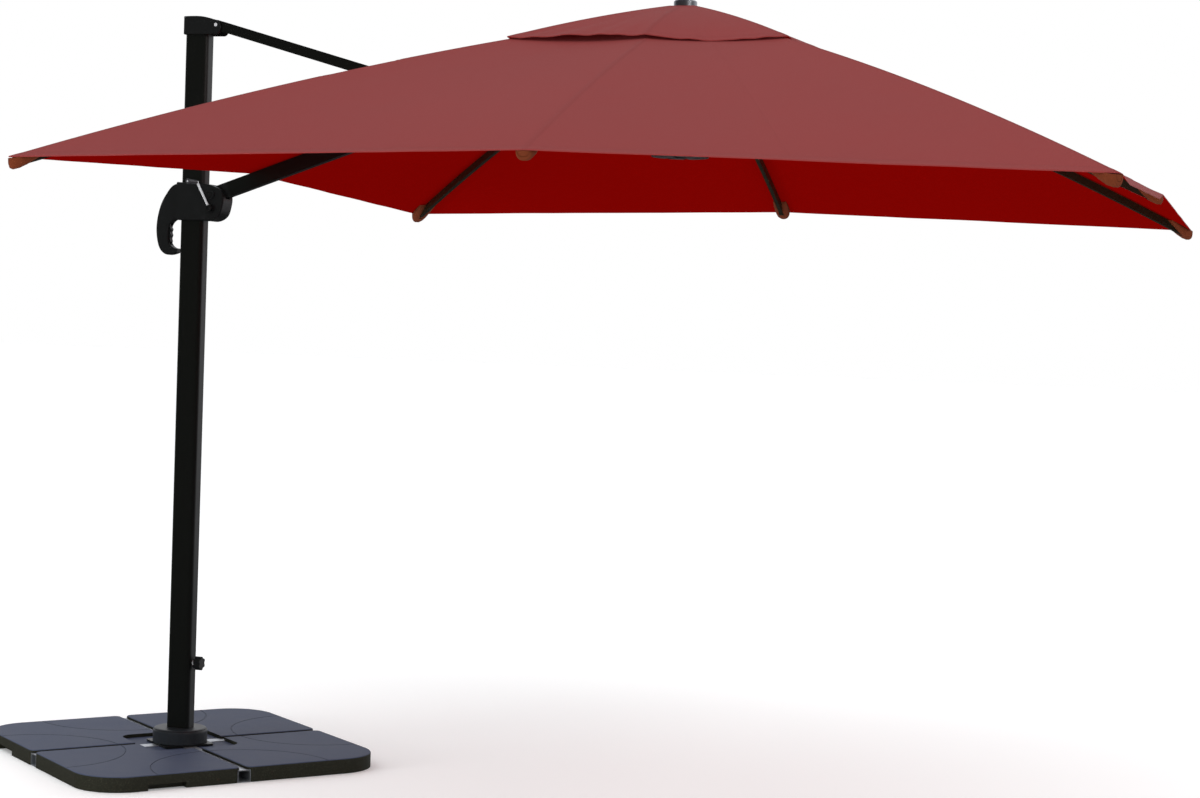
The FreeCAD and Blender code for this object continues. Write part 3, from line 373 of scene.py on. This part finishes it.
slotFinish = {
    "moulded_plate": hardFinish("platePlastic", (0.057, 0.071, 0.118), (0.11, 0.12, 0.15), plateSkin),
    "ballast": hardFinish("cementFill", (0.38, 0.37, 0.35), (0.5, 0.49, 0.46), cementSkin),
    "galvanised_steel": hardFinish("zincSteel", (0.52, 0.55, 0.59), (0.7, 0.71, 0.73), zincSkin),
    "anthracite_aluminium": hardFinish("coatedAluminium", (0.0026, 0.0032, 0.0022), (0.16, 0.16, 0.17),
                                       powderCoat),
    "anthracite_steel": hardFinish("coatedSteel", (0.0034, 0.0037, 0.0036), (0.15, 0.15, 0.16), powderCoat),
    "black_plastic": hardFinish("satinPlastic", (0.0052, 0.0058, 0.0058), (0.03, 0.03, 0.034), satinBlack),
    "grey_plastic": hardFinish("greyPlastic", (0.030, 0.030, 0.033), (0.09, 0.09, 0.095), greyMould),
    "bearing_plastic": hardFinish("bearingPlastic", (0.62, 0.61, 0.57), (0.7, 0.7, 0.68), dullMould),
    "bright_steel": hardFinish("platedSteel", (0.72, 0.73, 0.75), (0.8, 0.8, 0.8), polished),
}
ribFinish = hardFinish("coatedRib", (0.0150, 0.0125, 0.0048), (0.10, 0.10, 0.10), powderCoat)
nodeFinish = {
    "finial_cap": hardFinish("brushedCap", (0.30, 0.31, 0.33), (0.6, 0.6, 0.6), brushed),
    "foot_cover": hardFinish("coverPlastic", (0.0135, 0.0160, 0.0195), (0.05, 0.05, 0.055), satinBlack),
}

# cloth finish

clothLook = {
    "sheenRough": 0.45, "patch": 1.6, "threads": 620.0,
    "ribRows": (0.0035, 0.0085), "hemRows": (0.021, 0.026),     # stitch rows from the seam and from the hem
    "weaveDark": 0.55, "seamDark": 0.45, "seamHalf": (0.006, 0.012),
    "threadShare": 0.55, "roughSpread": 0.12,
    "seamBump": (0.35, 0.0012), "weaveBump": (0.22, 0.0003),    # strength, distance
}


def fabricFinish(name, look):   # woven cloth with seams over the ribs, a stitched hem and a painted glow
    settings = {"Specular IOR Level": look["gloss"], "Sheen Weight": look["sheen"],
                "Sheen Roughness": clothLook["sheenRough"], "Sheen Tint": rgba(look["sheenTint"]),
                "Emission Color": rgba(look["paintedThroughLight"]), "Emission Strength": look["paintedGlowStrength"]}
    material, tree, shader = startMaterial(name, settings)
    ribGap, hemGap, sideRun = (addNode(tree, "ShaderNodeAttribute", attribute_name=label).outputs["Fac"]
                               for label in ("ribGap", "hemGap", "sideRun"))
    tone = useEffect(tree, "mottle", Tone=rgba(look["colour"]), Strength=look["mottle"],
                     Size=clothLook["patch"])
    weave = useEffect(tree, "weave", Threads=clothLook["threads"])
    ribRows = useEffect(tree, "stitches", Gap=ribGap, Run=hemGap,
                        First=clothLook["ribRows"][0], Second=clothLook["ribRows"][1])
    hemRows = useEffect(tree, "stitches", Gap=hemGap, Run=sideRun,
                        First=clothLook["hemRows"][0], Second=clothLook["hemRows"][1])
    threads = maths(tree, "MAXIMUM", ribRows.outputs["Mask"], hemRows.outputs["Mask"])
    woven = tintMix(tree, times(tree, weave.outputs["Mask"], look["weaveShade"]), tone.outputs["Color"],
                    rgba(look["colour"], clothLook["weaveDark"]))
    seamShade = inverse(tree, between(tree, maths(tree, "ABSOLUTE", ribGap), *clothLook["seamHalf"]))
    shaded = tintMix(tree, times(tree, seamShade, look["seamShade"]), woven,
                     rgba(look["colour"], clothLook["seamDark"]))
    sewn = tintMix(tree, times(tree, threads, clothLook["threadShare"]), shaded, rgba(look["thread"]))
    spread = times(tree, maths(tree, "SUBTRACT", tone.outputs["Mask"], 0.5), clothLook["roughSpread"])
    rough = maths(tree, "ADD", spread, look["rough"])
    seams = maths(tree, "ADD", ribRows.outputs["Height"], hemRows.outputs["Height"])
    seamBump, weaveBump = (addNode(tree, "ShaderNodeBump", Strength=strength, Distance=distance)
                           for strength, distance in (clothLook["seamBump"], clothLook["weaveBump"]))
    joinUp(tree, (sewn, shader.inputs["Base Color"]), (rough, shader.inputs["Roughness"]),
           (seams, seamBump.inputs["Height"]), (weave.outputs["Height"], weaveBump.inputs["Height"]),
           (seamBump.outputs[0], weaveBump.inputs["Normal"]), (weaveBump.outputs[0], shader.inputs["Normal"]))
    return material


# the emission colour and strength are a painted glow that stands in for the light coming through the cloth.
# Outside and inside are lit and shaded copies of one cloth.
outsideCloth = {"colour": (0.217, 0.0305, 0.0295), "mottle": 0.05, "rough": 0.85, "gloss": 0.2,
                "sheen": 0.02, "sheenTint": (0.9, 0.75, 0.75), "thread": (0.15, 0.022, 0.022),
                "weaveShade": 0.25, "seamShade": 0.05, "paintedThroughLight": (0.2, 0.02, 0.02), "paintedGlowStrength": 0.0}
# the inside colour is darker and purer than the outside as painted shade, and its glow is painted light
insideCloth = {"colour": (0.105, 0.0006, 0.0003), "mottle": 0.05, "rough": 0.9, "gloss": 0.0,
               "sheen": 0.0, "sheenTint": (0.6, 0.1, 0.1), "thread": (0.10, 0.002, 0.002),
               "weaveShade": 0.25, "seamShade": 0.08, "paintedThroughLight": (0.20, 0.0010, 0.0004), "paintedGlowStrength": 0.45}
pocketCloth = {"colour": (0.120, 0.026, 0.009), "mottle": 0.12, "rough": 0.88, "gloss": 0.1,
               "sheen": 0.0, "sheenTint": (0.5, 0.3, 0.3), "thread": (0.04, 0.01, 0.01),
               "weaveShade": 0.35, "seamShade": 0.0, "paintedThroughLight": (0.05, 0.008, 0.004), "paintedGlowStrength": 0.0}
clothOut = fabricFinish("clothOutside", outsideCloth)
clothIn = fabricFinish("clothInside", insideCloth)
clothPocket = fabricFinish("clothPocket", pocketCloth)


def finishOf(part):
    node = part["node"]
    if node.startswith(("rib_", "stretcher_")) and not node.endswith("_pins"):
        return ribFinish
    return nodeFinish.get(node, slotFinish.get(part["material_slot"], clothOut))


for part in subparts:
    surface = cadNodes[part["node"]].data
    surface.materials.clear()
    surface.materials.append(finishOf(part))
print("finishes made", len(bpy.data.materials))

# canopy: a share is 0 at its axis and 1 at its edge, and u counts the half sides round it

hubPlace = boxMiddle("finial_cap")
canopyLow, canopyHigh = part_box("canopy")
slidePlace = jointPlace("slider_pivot")
boomTip = jointPlace("hub_level")
boomSlope = math.atan2(boomTip.z - slidePlace.z, boomTip.x - slidePlace.x)

canopyCut = {
    "halfSide": (canopyHigh.y - canopyLow.y) / 2,
    "hinge": abs(hubPlace.x - jointPlace("rib_right_fold").x),
    "crown": jointPlace("rib_right_fold").z,
    "overBoom": (0.025, 0.0055),  # half the boom's height, cloth above it
    "cloth": 0.0013,              # thickness
    "hem": 0.028,                 # width of the turned edge
    "hemExtra": 0.0009,
    "sag": 0.011,                 # cloth between two ribs, at its lowest
    "ripple": 0.0016,
    "rippleNoise": {"slow": (2.2, 3.1), "pull": (9.0, 1.3, 8.0), "pullShare": 0.9},
    "holeShare": 0.2,             # vent hole
    "slit": (0.455, 0.575, 0.034),  # for the tie: first share, last share, half width
    "slitEnd": 3.2,               # how blunt its ends are
    # hem at the near half of the right side: drop, share that bends, where along u it starts and ends
    "hang": (0.016, 0.95, (2.04, 2.2), (2.9, 3.0)),
    "keep": 0.12,                 # of the cloth's width, when folded
    "alongSlope": 1.06,           # flat length against the run in plan
    "flatSpare": 1.001,
}
ventCut = {
    "edge": 0.292,                # share at the lower edge
    "patch": 0.058,               # share of the crown patch
    "patchHole": 0.006,
    "patchFlat": 3.1,             # flat side of the patch against its share
    "apex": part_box("vent_canopy")[1].z + 0.0025,
    "lift": (0.024, 0.008),       # above the canopy: middle of a side, corner
    "gape": (0.006, (0.02, 0.4), (0.6, 0.9)),       # height, where along u it starts and ends
    "settle": (0.0085, (0.65, 0.95), (1.5, 2.0)),
    "waves": ((0.0058, 9.5, (1.7, 0.3)), (0.003, 2.1, (4.4, 2.0))),     # height, beat and layer of the noise
    "flatTop": 0.075, "crown": 0.010,
    "corner": 0.25,               # share of the waves left over a rib
    "calm": 0.5,                  # ripples against the canopy's
}

# reach, height of the cloth at the edge, cloth above the rib, rise of the rib above its chord
halfSide = canopyCut["halfSide"]
ribKinds = {
    "middle": {"reach": halfSide, "edge": canopyLow.z + 0.040, "lift": 0.0025, "bow": 0.022},
    "corner": {"reach": halfSide * math.sqrt(2), "edge": canopyLow.z + 0.003, "lift": 0.0060, "bow": 0.038},
}
ribSize = {"half": 0.013, "inset": 0.014, "layer": 0.003}
ribNames = ["front_left", "front", "front_right", "right", "back_right", "back", "back_left"]
firstRib, lastRib, boomSpoke = 0, 6, 7      # the boom lies where the eighth rib would


def kindOf(k):
    return "corner" if k % 2 == 0 else "middle"


def ribHeight(kind, r):     # top of the cloth over a rib at a distance from the canopy's axis
    rib = ribKinds[kind]
    hinge, crown = canopyCut["hinge"], canopyCut["crown"]
    slope = (crown - rib["edge"]) / (rib["reach"] - hinge)
    tipR = rib["reach"] - ribSize["inset"]
    tipZ = rib["edge"] + ribSize["inset"] * slope - ribSize["layer"] - rib["lift"]
    tipZ -= ribSize["half"] * math.hypot(1, slope)
    share = (r - hinge) / (tipR - hinge)
    angle = math.atan2(crown - tipZ, tipR - hinge)
    middle = crown - share * (crown - tipZ) + 4 * rib["bow"] * share * (1 - share) / math.cos(angle)
    return middle + ribSize["half"] / math.cos(angle) + rib["lift"] + ribSize["layer"]


def boomHeight(r):          # top of the cloth over the boom
    boomHalf, over = canopyCut["overBoom"]
    rise = (hubPlace.x - r - slidePlace.x) * math.tan(boomSlope)
    return slidePlace.z + rise + boomHalf / math.cos(boomSlope) + over


def spokeHeight(k, share):
    k %= 8
    if k == boomSpoke:
        return boomHeight(share * halfSide)
    return ribHeight(kindOf(k), share * ribKinds[kindOf(k)]["reach"])


def edgePoint(u):           # point on the square's side, u from 0 at the front left corner
    side, along = divmod(u % 8, 2)
    step = (along - 1) * halfSide
    return [(step, -halfSide), (halfSide, step), (-step, halfSide), (-halfSide, -step)][int(side)]


def humped(t):              # 1 in the middle of 0 to 1, 0 at its ends
    return 4 * t * (1 - t)


def clothHeight(share, u):
    k = math.floor(u)
    t = u - k
    low, high = spokeHeight(k, share), spokeHeight(k + 1, share)
    return low + (high - low) * t - canopyCut["sag"] * humped(t) * humped(share)


def ripples(x, y, share, u):        # small unevenness of stretched cloth, strongest between the ribs
    wave = canopyCut["rippleNoise"]
    scale, layer = wave["slow"]
    around, outward, depth = wave["pull"]
    t = u - math.floor(u)
    calm = min(1.0, 5 * t * (1 - t))
    slow = noise.noise(Vector((x * scale, y * scale, layer)))
    pull = noise.noise(Vector((u * around, share * outward, depth)))
    return canopyCut["ripple"] * calm * (slow + wave["pullShare"] * pull * share)


def eased(value, low, high):
    t = min(1.0, max(0.0, (value - low) / (high - low)))
    return t * t * (3 - 2 * t)


def upAndDown(value, rise, fall):
    return eased(value, *rise) * (1 - eased(value, *fall))


def hemHang(share, u):      # the hem hangs a little along the near half of the right side
    drop, start, rise, fall = canopyCut["hang"]
    return drop * upAndDown(u % 8, rise, fall) * eased(share, 1 - start * canopyCut["hem"] / halfSide, 1.0)


def mainSurface(share, u):
    ex, ey = edgePoint(u)
    x, y = ex * share, ey * share
    z = clothHeight(share, u) + ripples(x, y, share, u) - hemHang(share, u)
    return Vector((hubPlace.x + x, y, z))


def ventEdgeWave(u):        # small waves along the loose lower edge
    return sum(height * noise.noise(Vector((u * beat, *layer))) for height, beat, layer in ventCut["waves"])


# the edge stands open over the left half of the front side and lies low over the right half
def ventGape(u):
    gape, gapeRise, gapeFall = ventCut["gape"]
    settle, settleRise, settleFall = ventCut["settle"]
    return gape * upAndDown(u % 8, gapeRise, gapeFall) - settle * upAndDown(u % 8, settleRise, settleFall)


def ventSurface(share, u):
    ex, ey = edgePoint(u)
    x, y = ex * share, ey * share
    k = math.floor(u)
    t = u - k
    lifts = [ventCut["lift"][0 if (k + step) % 2 else 1] for step in (0, 1)]
    edge = clothHeight(ventCut["edge"], u) + lifts[0] + (lifts[1] - lifts[0]) * t
    out = share / ventCut["edge"]
    slope = max(0.0, out - ventCut["flatTop"]) / (1 - ventCut["flatTop"])
    z = ventCut["apex"] + (edge - ventCut["apex"]) * slope + ventCut["crown"] * humped(out)
    z += (ventEdgeWave(u) * min(1.0, 2 * humped(t) + ventCut["corner"]) + ventGape(u)) * out ** 4
    return Vector((hubPlace.x + x, y, z + ripples(x, y, out, u) * ventCut["calm"]))


def spokeSteps(first, last, graded):        # u values from first to last, close together beside each spoke
    values = {first, last}
    for k in range(math.floor(first), math.floor(last) + 1):
        for t in graded:
            for u in (k - t, k + t):
                if first - 1e-9 <= u <= last + 1e-9:
                    values.add(round(u, 6))
    return sorted(values)


def sharesBetween(first, last, count, extra=()):
    values = {round(first + (last - first) * i / count, 6) for i in range(count + 1)}
    return sorted(values | {round(v, 6) for v in extra if first < v < last})


def slitHalf(share):
    first, last, width = canopyCut["slit"]
    inside = (share - first) / (last - first)
    if not 0 < inside < 1:
        return 0.0
    return width * min(1.0, canopyCut["slitEnd"] * math.sin(math.pi * inside))


def sector(k):              # how far a rib's own cloth reaches, in u, at a share
    def limits(share):
        gap = slitHalf(share) / (share * halfSide)
        first = boomSpoke - 8 + gap if k == firstRib else k - 0.5
        last = boomSpoke - gap if k == lastRib else k + 0.5
        return first, last
    return limits


def meshPiece(name, points, faces, materials):
    mesh = bpy.data.meshes.new(name)
    mesh.from_pydata(points, [], faces)
    for material in materials:
        mesh.materials.append(material)
    return mesh


def addValues(mesh, **columns):
    for label, values in columns.items():
        mesh.attributes.new(label, "FLOAT", "POINT").data.foreach_set("value", values)


def clothPanel(name, surface, shares, columns, limits, hemmed):
    # two-faced cloth: top and underside grids joined round all four sides
    rows = []
    full = columns[-1] - columns[0]
    for share in shares:
        first, last = limits(share)
        rows.append([first + (u - columns[0]) * (last - first) / full for u in columns])
    count = len(columns)
    size = len(shares) * count
    points, ribGap, hemGap, sideRun = [], [], [], []
    for face in (0, 1):
        for share, row in zip(shares, rows):
            edgeRun = (shares[-1] - share) * halfSide
            extra = canopyCut["hemExtra"] if hemmed and edgeRun < canopyCut["hem"] else 0.0
            for u in row:
                place = surface(share, u)
                place.z += extra if face == 0 else -canopyCut["cloth"] - extra
                points.append(place)
                ribGap.append((u - round(u)) * halfSide * share)
                hemGap.append(edgeRun)
                sideRun.append(u * halfSide)
    faces = []
    for i in range(len(shares) - 1):
        for j in range(count - 1):
            a, b = i * count + j, (i + 1) * count + j
            faces.append((a, b, b + 1, a + 1))
            faces.append((a + 1 + size, b + 1 + size, b + size, a + size))
    sheetFaces = len(faces)
    ring = list(range(count))
    ring += [i * count + count - 1 for i in range(1, len(shares))]
    ring += [(len(shares) - 1) * count + j for j in range(count - 2, -1, -1)]
    ring += [i * count for i in range(len(shares) - 2, 0, -1)]
    ringEdges = list(zip(ring, ring[1:] + ring[:1]))
    faces += [(a, b, b + size, a + size) for a, b in ringEdges]
    # underside faces take the inside cloth: painted shade and a painted glow
    mesh = meshPiece(name, points, faces, (clothOut, clothIn))
    mesh.polygons.foreach_set("material_index", [i % 2 if i < sheetFaces else 0 for i in range(len(faces))])
    mesh.polygons.foreach_set("use_smooth", [i < sheetFaces for i in range(len(faces))])
    addValues(mesh, ribGap=ribGap, hemGap=hemGap, sideRun=sideRun)
    mesh.update()
    rim = {(min(a, b) + layer, max(a, b) + layer) for a, b in ringEdges for layer in (0, size)}
    for edge in mesh.edges:
        if (min(edge.vertices), max(edge.vertices)) in rim:
            edge.use_edge_sharp = True
    return linkObject(name, mesh)


def topArea(piece):
    return sum(face.area for face in piece.data.polygons if face.material_index == 0 and face.use_smooth)


def spokeWay(k):
    ex, ey = edgePoint(k)
    return Vector((ex, ey, 0)).normalized()


# sections from the edge inwards: distance from the edge, half width, depth under the cloth
# fall is how much the cloth drops beside the rib for each unit of width
pocketCut = {
    "corner": {"fall": 0.261, "sections": [
        (0.001, 0.009, 0.020), (0.005, 0.015, 0.031), (0.014, 0.022, 0.037), (0.030, 0.027, 0.0375),
        (0.050, 0.030, 0.033), (0.075, 0.032, 0.024), (0.098, 0.033, 0.015), (0.118, 0.033, 0.006)]},
    "middle": {"fall": 0.027, "sections": [
        (0.001, 0.017, 0.018), (0.006, 0.023, 0.029), (0.020, 0.026, 0.034), (0.040, 0.027, 0.033),
        (0.058, 0.027, 0.026), (0.076, 0.026, 0.014), (0.088, 0.025, 0.005)]},
    "arc": 14, "thick": 0.0011, "clear": 0.0012, "round": 0.75,
}


def pocketPoints(k):
    kind = kindOf(k)
    way = spokeWay(k)
    across = Vector((-way.y, way.x, 0))
    arc = pocketCut["arc"]
    points = []
    for layer in (0.0, pocketCut["thick"]):
        for gap, half, depth in pocketCut[kind]["sections"]:
            r = ribKinds[kind]["reach"] - gap
            top = ribHeight(kind, r) - canopyCut["cloth"] - pocketCut["clear"]
            for i in range(arc + 1):
                turn = math.pi * i / arc
                side = (half - layer) * math.cos(turn)
                drop = (depth - layer) * math.sin(turn) ** pocketCut["round"]
                spot = Vector((hubPlace.x, 0, 0)) + way * r + across * side
                points.append((spot.x, spot.y, top - pocketCut[kind]["fall"] * abs(side) - drop))
    return points


def pocketPiece(name, k):   # sewn pocket under the cloth that holds a rib's tip
    arc = pocketCut["arc"]
    points = pocketPoints(k)
    sections = len(pocketCut[kindOf(k)]["sections"])
    count = arc + 1
    size = sections * count
    faces = []
    for s in range(sections - 1):       # outside and inside
        for i in range(arc):
            a, b = s * count + i, (s + 1) * count + i
            faces.append((a, b, b + 1, a + 1))
            faces.append((a + 1 + size, b + 1 + size, b + size, a + size))
    last = (sections - 1) * count
    for i in range(arc):                # both mouths
        faces.append((i + 1, i, i + size, i + 1 + size)[::-1])
        faces.append((last + i, last + i + 1, last + i + 1 + size, last + i + size)[::-1])
    for s in range(sections - 1):       # both long edges
        a, b = s * count, (s + 1) * count
        faces.append((a, a + size, b + size, b))
        faces.append((a + arc, b + arc, b + arc + size, a + arc + size))
    end = len(points)
    points.append(tuple(sum(p[axis] for p in points[:count]) / count for axis in range(3)))
    faces += [(i, (i + 1) % count, end) for i in range(count)]      # closed outer end
    mesh = meshPiece(name, points, faces, [clothPocket])
    for face in mesh.polygons:
        face.use_smooth = True
    plain = [1.0] * len(points)
    addValues(mesh, ribGap=plain, hemGap=plain, sideRun=plain)
    mesh.update()
    return linkObject(name, mesh)


hemShare = canopyCut["hem"] / halfSide
hemLines = (1 - hemShare, 1 - hemShare - 0.001, 1 - hemShare / 2)
mainShares = sharesBetween(canopyCut["holeShare"], 1.0, 40, hemLines)
mainSteps = (0.0, 0.008, 0.022, 0.05, 0.09, 0.14, 0.2, 0.26, 0.32, 0.38, 0.44, 0.5)
slitFirst, slitLast = canopyCut["slit"][:2]
slitSteps = (0.0, 0.02, 0.05, 0.09, 0.13, 0.5, 0.87, 0.91, 0.95, 0.98, 1.0)
slitShares = {round(slitFirst + (slitLast - slitFirst) * step, 6) for step in slitSteps}
ventShares = sharesBetween(ventCut["patch"], ventCut["edge"], 16, (ventCut["edge"] - 0.012,))
ventSteps = tuple(i / 32 for i in range(17))

clothPieces = []
for k, ribName in enumerate(ribNames):
    body = "rib_" + ribName
    way = spokeWay(k)
    across = (-way.y, way.x, 0)
    anchor = Vector((hubPlace.x, 0, ribKinds[kindOf(k)]["edge"])) + way * ribKinds[kindOf(k)]["reach"]
    first = boomSpoke - 8 if k == firstRib else k - 0.5
    last = boomSpoke if k == lastRib else k + 0.5
    pocket = pocketPiece("ribPocket_" + ribName, k)
    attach(pocket, body)
    shares = sorted(set(mainShares) | slitShares) if k in (firstRib, lastRib) else mainShares
    panel = clothPanel("canopyCloth_" + ribName, mainSurface, shares, spokeSteps(first, last, mainSteps),
                       sector(k), True)
    vent = clothPanel("ventCloth_" + ribName, ventSurface, ventShares, spokeSteps(first, last, ventSteps),
                      lambda share, a=first, b=last: (a, b), True)
    for piece, node, extras in ((panel, "canopy", [pocket]), (vent, "vent_canopy", [])):
        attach(piece, body)
        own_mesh(piece)
        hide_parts(node)
        wide = max(abs((v.co - anchor).dot(Vector(across))) for v in piece.data.vertices) * 2
        radii = [(Vector((v.co.x - hubPlace.x, v.co.y, 0))).dot(way) for v in piece.data.vertices]
        long = (max(radii) - min(radii)) * canopyCut["alongSlope"]
        area = topArea(piece)
        long = max(long, area / wide * canopyCut["flatSpare"])
        clothPieces.append(piece)

patchShares = sharesBetween(ventCut["patchHole"], ventCut["patch"], 5)
patch = clothPanel("ventCrownPatch", ventSurface, patchShares, spokeSteps(0, 8, ventSteps),
                   lambda share: (0, 8), False)
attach(patch, "hub")
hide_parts("vent_canopy")
print("canopy made", len(clothPieces) + 1)

# round covers over the housing's pivots

pivotCovers = {
    "pivotCoverBoom": {"joint": "slider_pivot", "radius": 0.0165, "proud": 0.0045},
    "pivotCoverWinch": {"joint": "crank_turn", "radius": 0.0150, "proud": 0.0040},
}
# (share of the height, share of the radius): a rim round a sunk ring and a raised middle
coverProfile = [(0.7, 1.0), (1.0, 0.93), (1.0, 0.72), (0.45, 0.66), (0.45, 0.42), (0.9, 0.34), (1.0, 0.05)]
coverMake = {"sunk": 0.001, "steps": 48}        # set into the housing, points round the rim


def turnedPiece(name, profile, place, material):
    # profile of (distance in front of the housing, radius) turned about an axis along Y
    steps = coverMake["steps"]
    turns = [math.tau * i / steps for i in range(steps)]
    points = [(place.x + r * math.cos(turn), place.y - out, place.z + r * math.sin(turn))
              for out, r in profile for turn in turns]
    faces = []
    for ring in range(len(profile) - 1):
        for i in range(steps):
            a, b = ring * steps + i, ring * steps + (i + 1) % steps
            faces.append((a, b, b + steps, a + steps))
    faces.append(tuple(range(steps))[::-1])
    faces.append(tuple(range((len(profile) - 1) * steps, len(profile) * steps)))
    mesh = meshPiece(name, points, faces, [material])
    for face in mesh.polygons:
        face.use_smooth = len(face.vertices) == 4
    mesh.update()
    return linkObject(name, mesh)


for name, cover in pivotCovers.items():
    centre = jointPlace(cover["joint"])
    centre.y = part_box("front_slider_shell")[0].y
    profile = [(-coverMake["sunk"], cover["radius"])]
    profile += [(out * cover["proud"], r * cover["radius"]) for out, r in coverProfile]
    piece = turnedPiece(name, profile, centre, slotFinish["black_plastic"])
    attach(piece, "slider")
print("covers made", len(pivotCovers))

# floor

floorLook = {"half": 60.0, "z": -0.0015, "colour": (0.94, 0.94, 0.94), "rough": 0.9, "gloss": 0.1,
             "glow": (0.97, 1.0, 1.0), "glowStrength": 0.14}
floorCorners = [(x * floorLook["half"], y * floorLook["half"], floorLook["z"])
                for x, y in ((-1, -1), (1, -1), (1, 1), (-1, 1))]
floorMaterial = startMaterial("paleFloor", {
    "Base Color": rgba(floorLook["colour"]), "Roughness": floorLook["rough"],
    "Specular IOR Level": floorLook["gloss"], "Emission Color": rgba(floorLook["glow"]),
    "Emission Strength": floorLook["glowStrength"]})[0]
floor = linkObject("studioFloor", meshPiece("studioFloor", floorCorners, [(0, 1, 2, 3)], [floorMaterial]))
floor.visible_glossy = False

# air: white to the camera, soft light on the pieces, and a studio with a dark front for reflections

airLook = {
    "seen": (1, 1, 1, 1), "lit": (0.98, 0.99, 1.0, 1), "litStrength": 0.98,
    "mirrored": (0.96, 0.97, 1.0, 1), "behind": (-0.1, 0.75), "aboveFloor": (-0.25, 0.0),
    "brightest": 0.93, "darkest": 0.05,
}
world = bpy.data.worlds.new("studioAir")
bpy.context.scene.world = world
world.use_nodes = True
air = world.node_tree
air.nodes.clear()
seen = addNode(air, "ShaderNodeBackground", Color=airLook["seen"], Strength=1.0)
lit = addNode(air, "ShaderNodeBackground", Color=airLook["lit"], Strength=airLook["litStrength"])
mirrored = addNode(air, "ShaderNodeBackground", Color=airLook["mirrored"])
seenMix = addNode(air, "ShaderNodeMixShader")
mirrorMix = addNode(air, "ShaderNodeMixShader")
path = addNode(air, "ShaderNodeLightPath")
out = addNode(air, "ShaderNodeOutputWorld")
heading = addNode(air, "ShaderNodeTexCoord")
headingParts = addNode(air, "ShaderNodeSeparateXYZ")
joinUp(air, (heading.outputs["Generated"], headingParts.inputs[0]))
behind = between(air, headingParts.outputs["Y"], *airLook["behind"])
aboveFloor = between(air, headingParts.outputs["Z"], *airLook["aboveFloor"])
bright = times(air, times(air, behind, aboveFloor), airLook["brightest"])
joinUp(air, (maths(air, "ADD", bright, airLook["darkest"]), mirrored.inputs["Strength"]),
       (path.outputs["Is Glossy Ray"], mirrorMix.inputs[0]), (lit.outputs[0], mirrorMix.inputs[1]),
       (mirrored.outputs[0], mirrorMix.inputs[2]), (path.outputs["Is Camera Ray"], seenMix.inputs[0]),
       (mirrorMix.outputs[0], seenMix.inputs[1]), (seen.outputs[0], seenMix.inputs[2]),
       (seenMix.outputs[0], out.inputs["Surface"]))

# lamps

lamps = {
    "keyRight": {"place": (7.5, -3.5, 5.5), "target": (0.6, 0, 1.2), "size": 2.5, "watts": 150.0,
                 "tint": (1.0, 0.98, 0.97), "mirrored": True},
    "fillFront": {"place": (-4.5, -7.0, 0.8), "target": (2.2, 0.8, 2.1), "size": 3.0, "watts": 430.0,
                  "tint": (1.0, 0.99, 0.98), "mirrored": False},
    "topSoft": {"place": (1.0, -1.5, 7.5), "target": (1.2, 0, 1.5), "size": 5.0, "watts": 60.0,
                "tint": (1.0, 1.0, 1.0), "mirrored": False},
}
for name, lamp in lamps.items():
    light = bpy.data.lights.new(name, "AREA")
    light.shape = "DISK"
    light.size = lamp["size"]
    light.energy = lamp["watts"]
    light.color = lamp["tint"]
    holder = linkObject(name, light)
    holder.location = lamp["place"]
    ahead = Vector(lamp["target"]) - Vector(lamp["place"])
    holder.rotation_euler = ahead.to_track_quat("-Z", "Y").to_euler()
    holder.visible_glossy = lamp["mirrored"]

# camera, turned from a view along +Y

viewpoint = {"place": (3.6889, -7.1504, cadHigh.z - 1.0082), "lens": 69.8838, "sensor": 36.0,
             "turns": (("Z", 0.3019), ("X", -0.0354), ("Y", -0.0348))}
eye = bpy.data.cameras.new("mainView")
eye.sensor_width = viewpoint["sensor"]
eye.sensor_fit = "HORIZONTAL"
eye.lens = viewpoint["lens"]
camera = linkObject("mainView", eye)
aim = Matrix.Translation(viewpoint["place"])
for axis, angle in viewpoint["turns"]:
    aim = aim @ Matrix.Rotation(angle, 4, axis)
camera.matrix_world = aim @ Matrix.Rotation(math.pi / 2, 4, "X")
bpy.context.scene.camera = camera
bpy.context.scene.view_settings.view_transform = "Standard"
print("stage set")
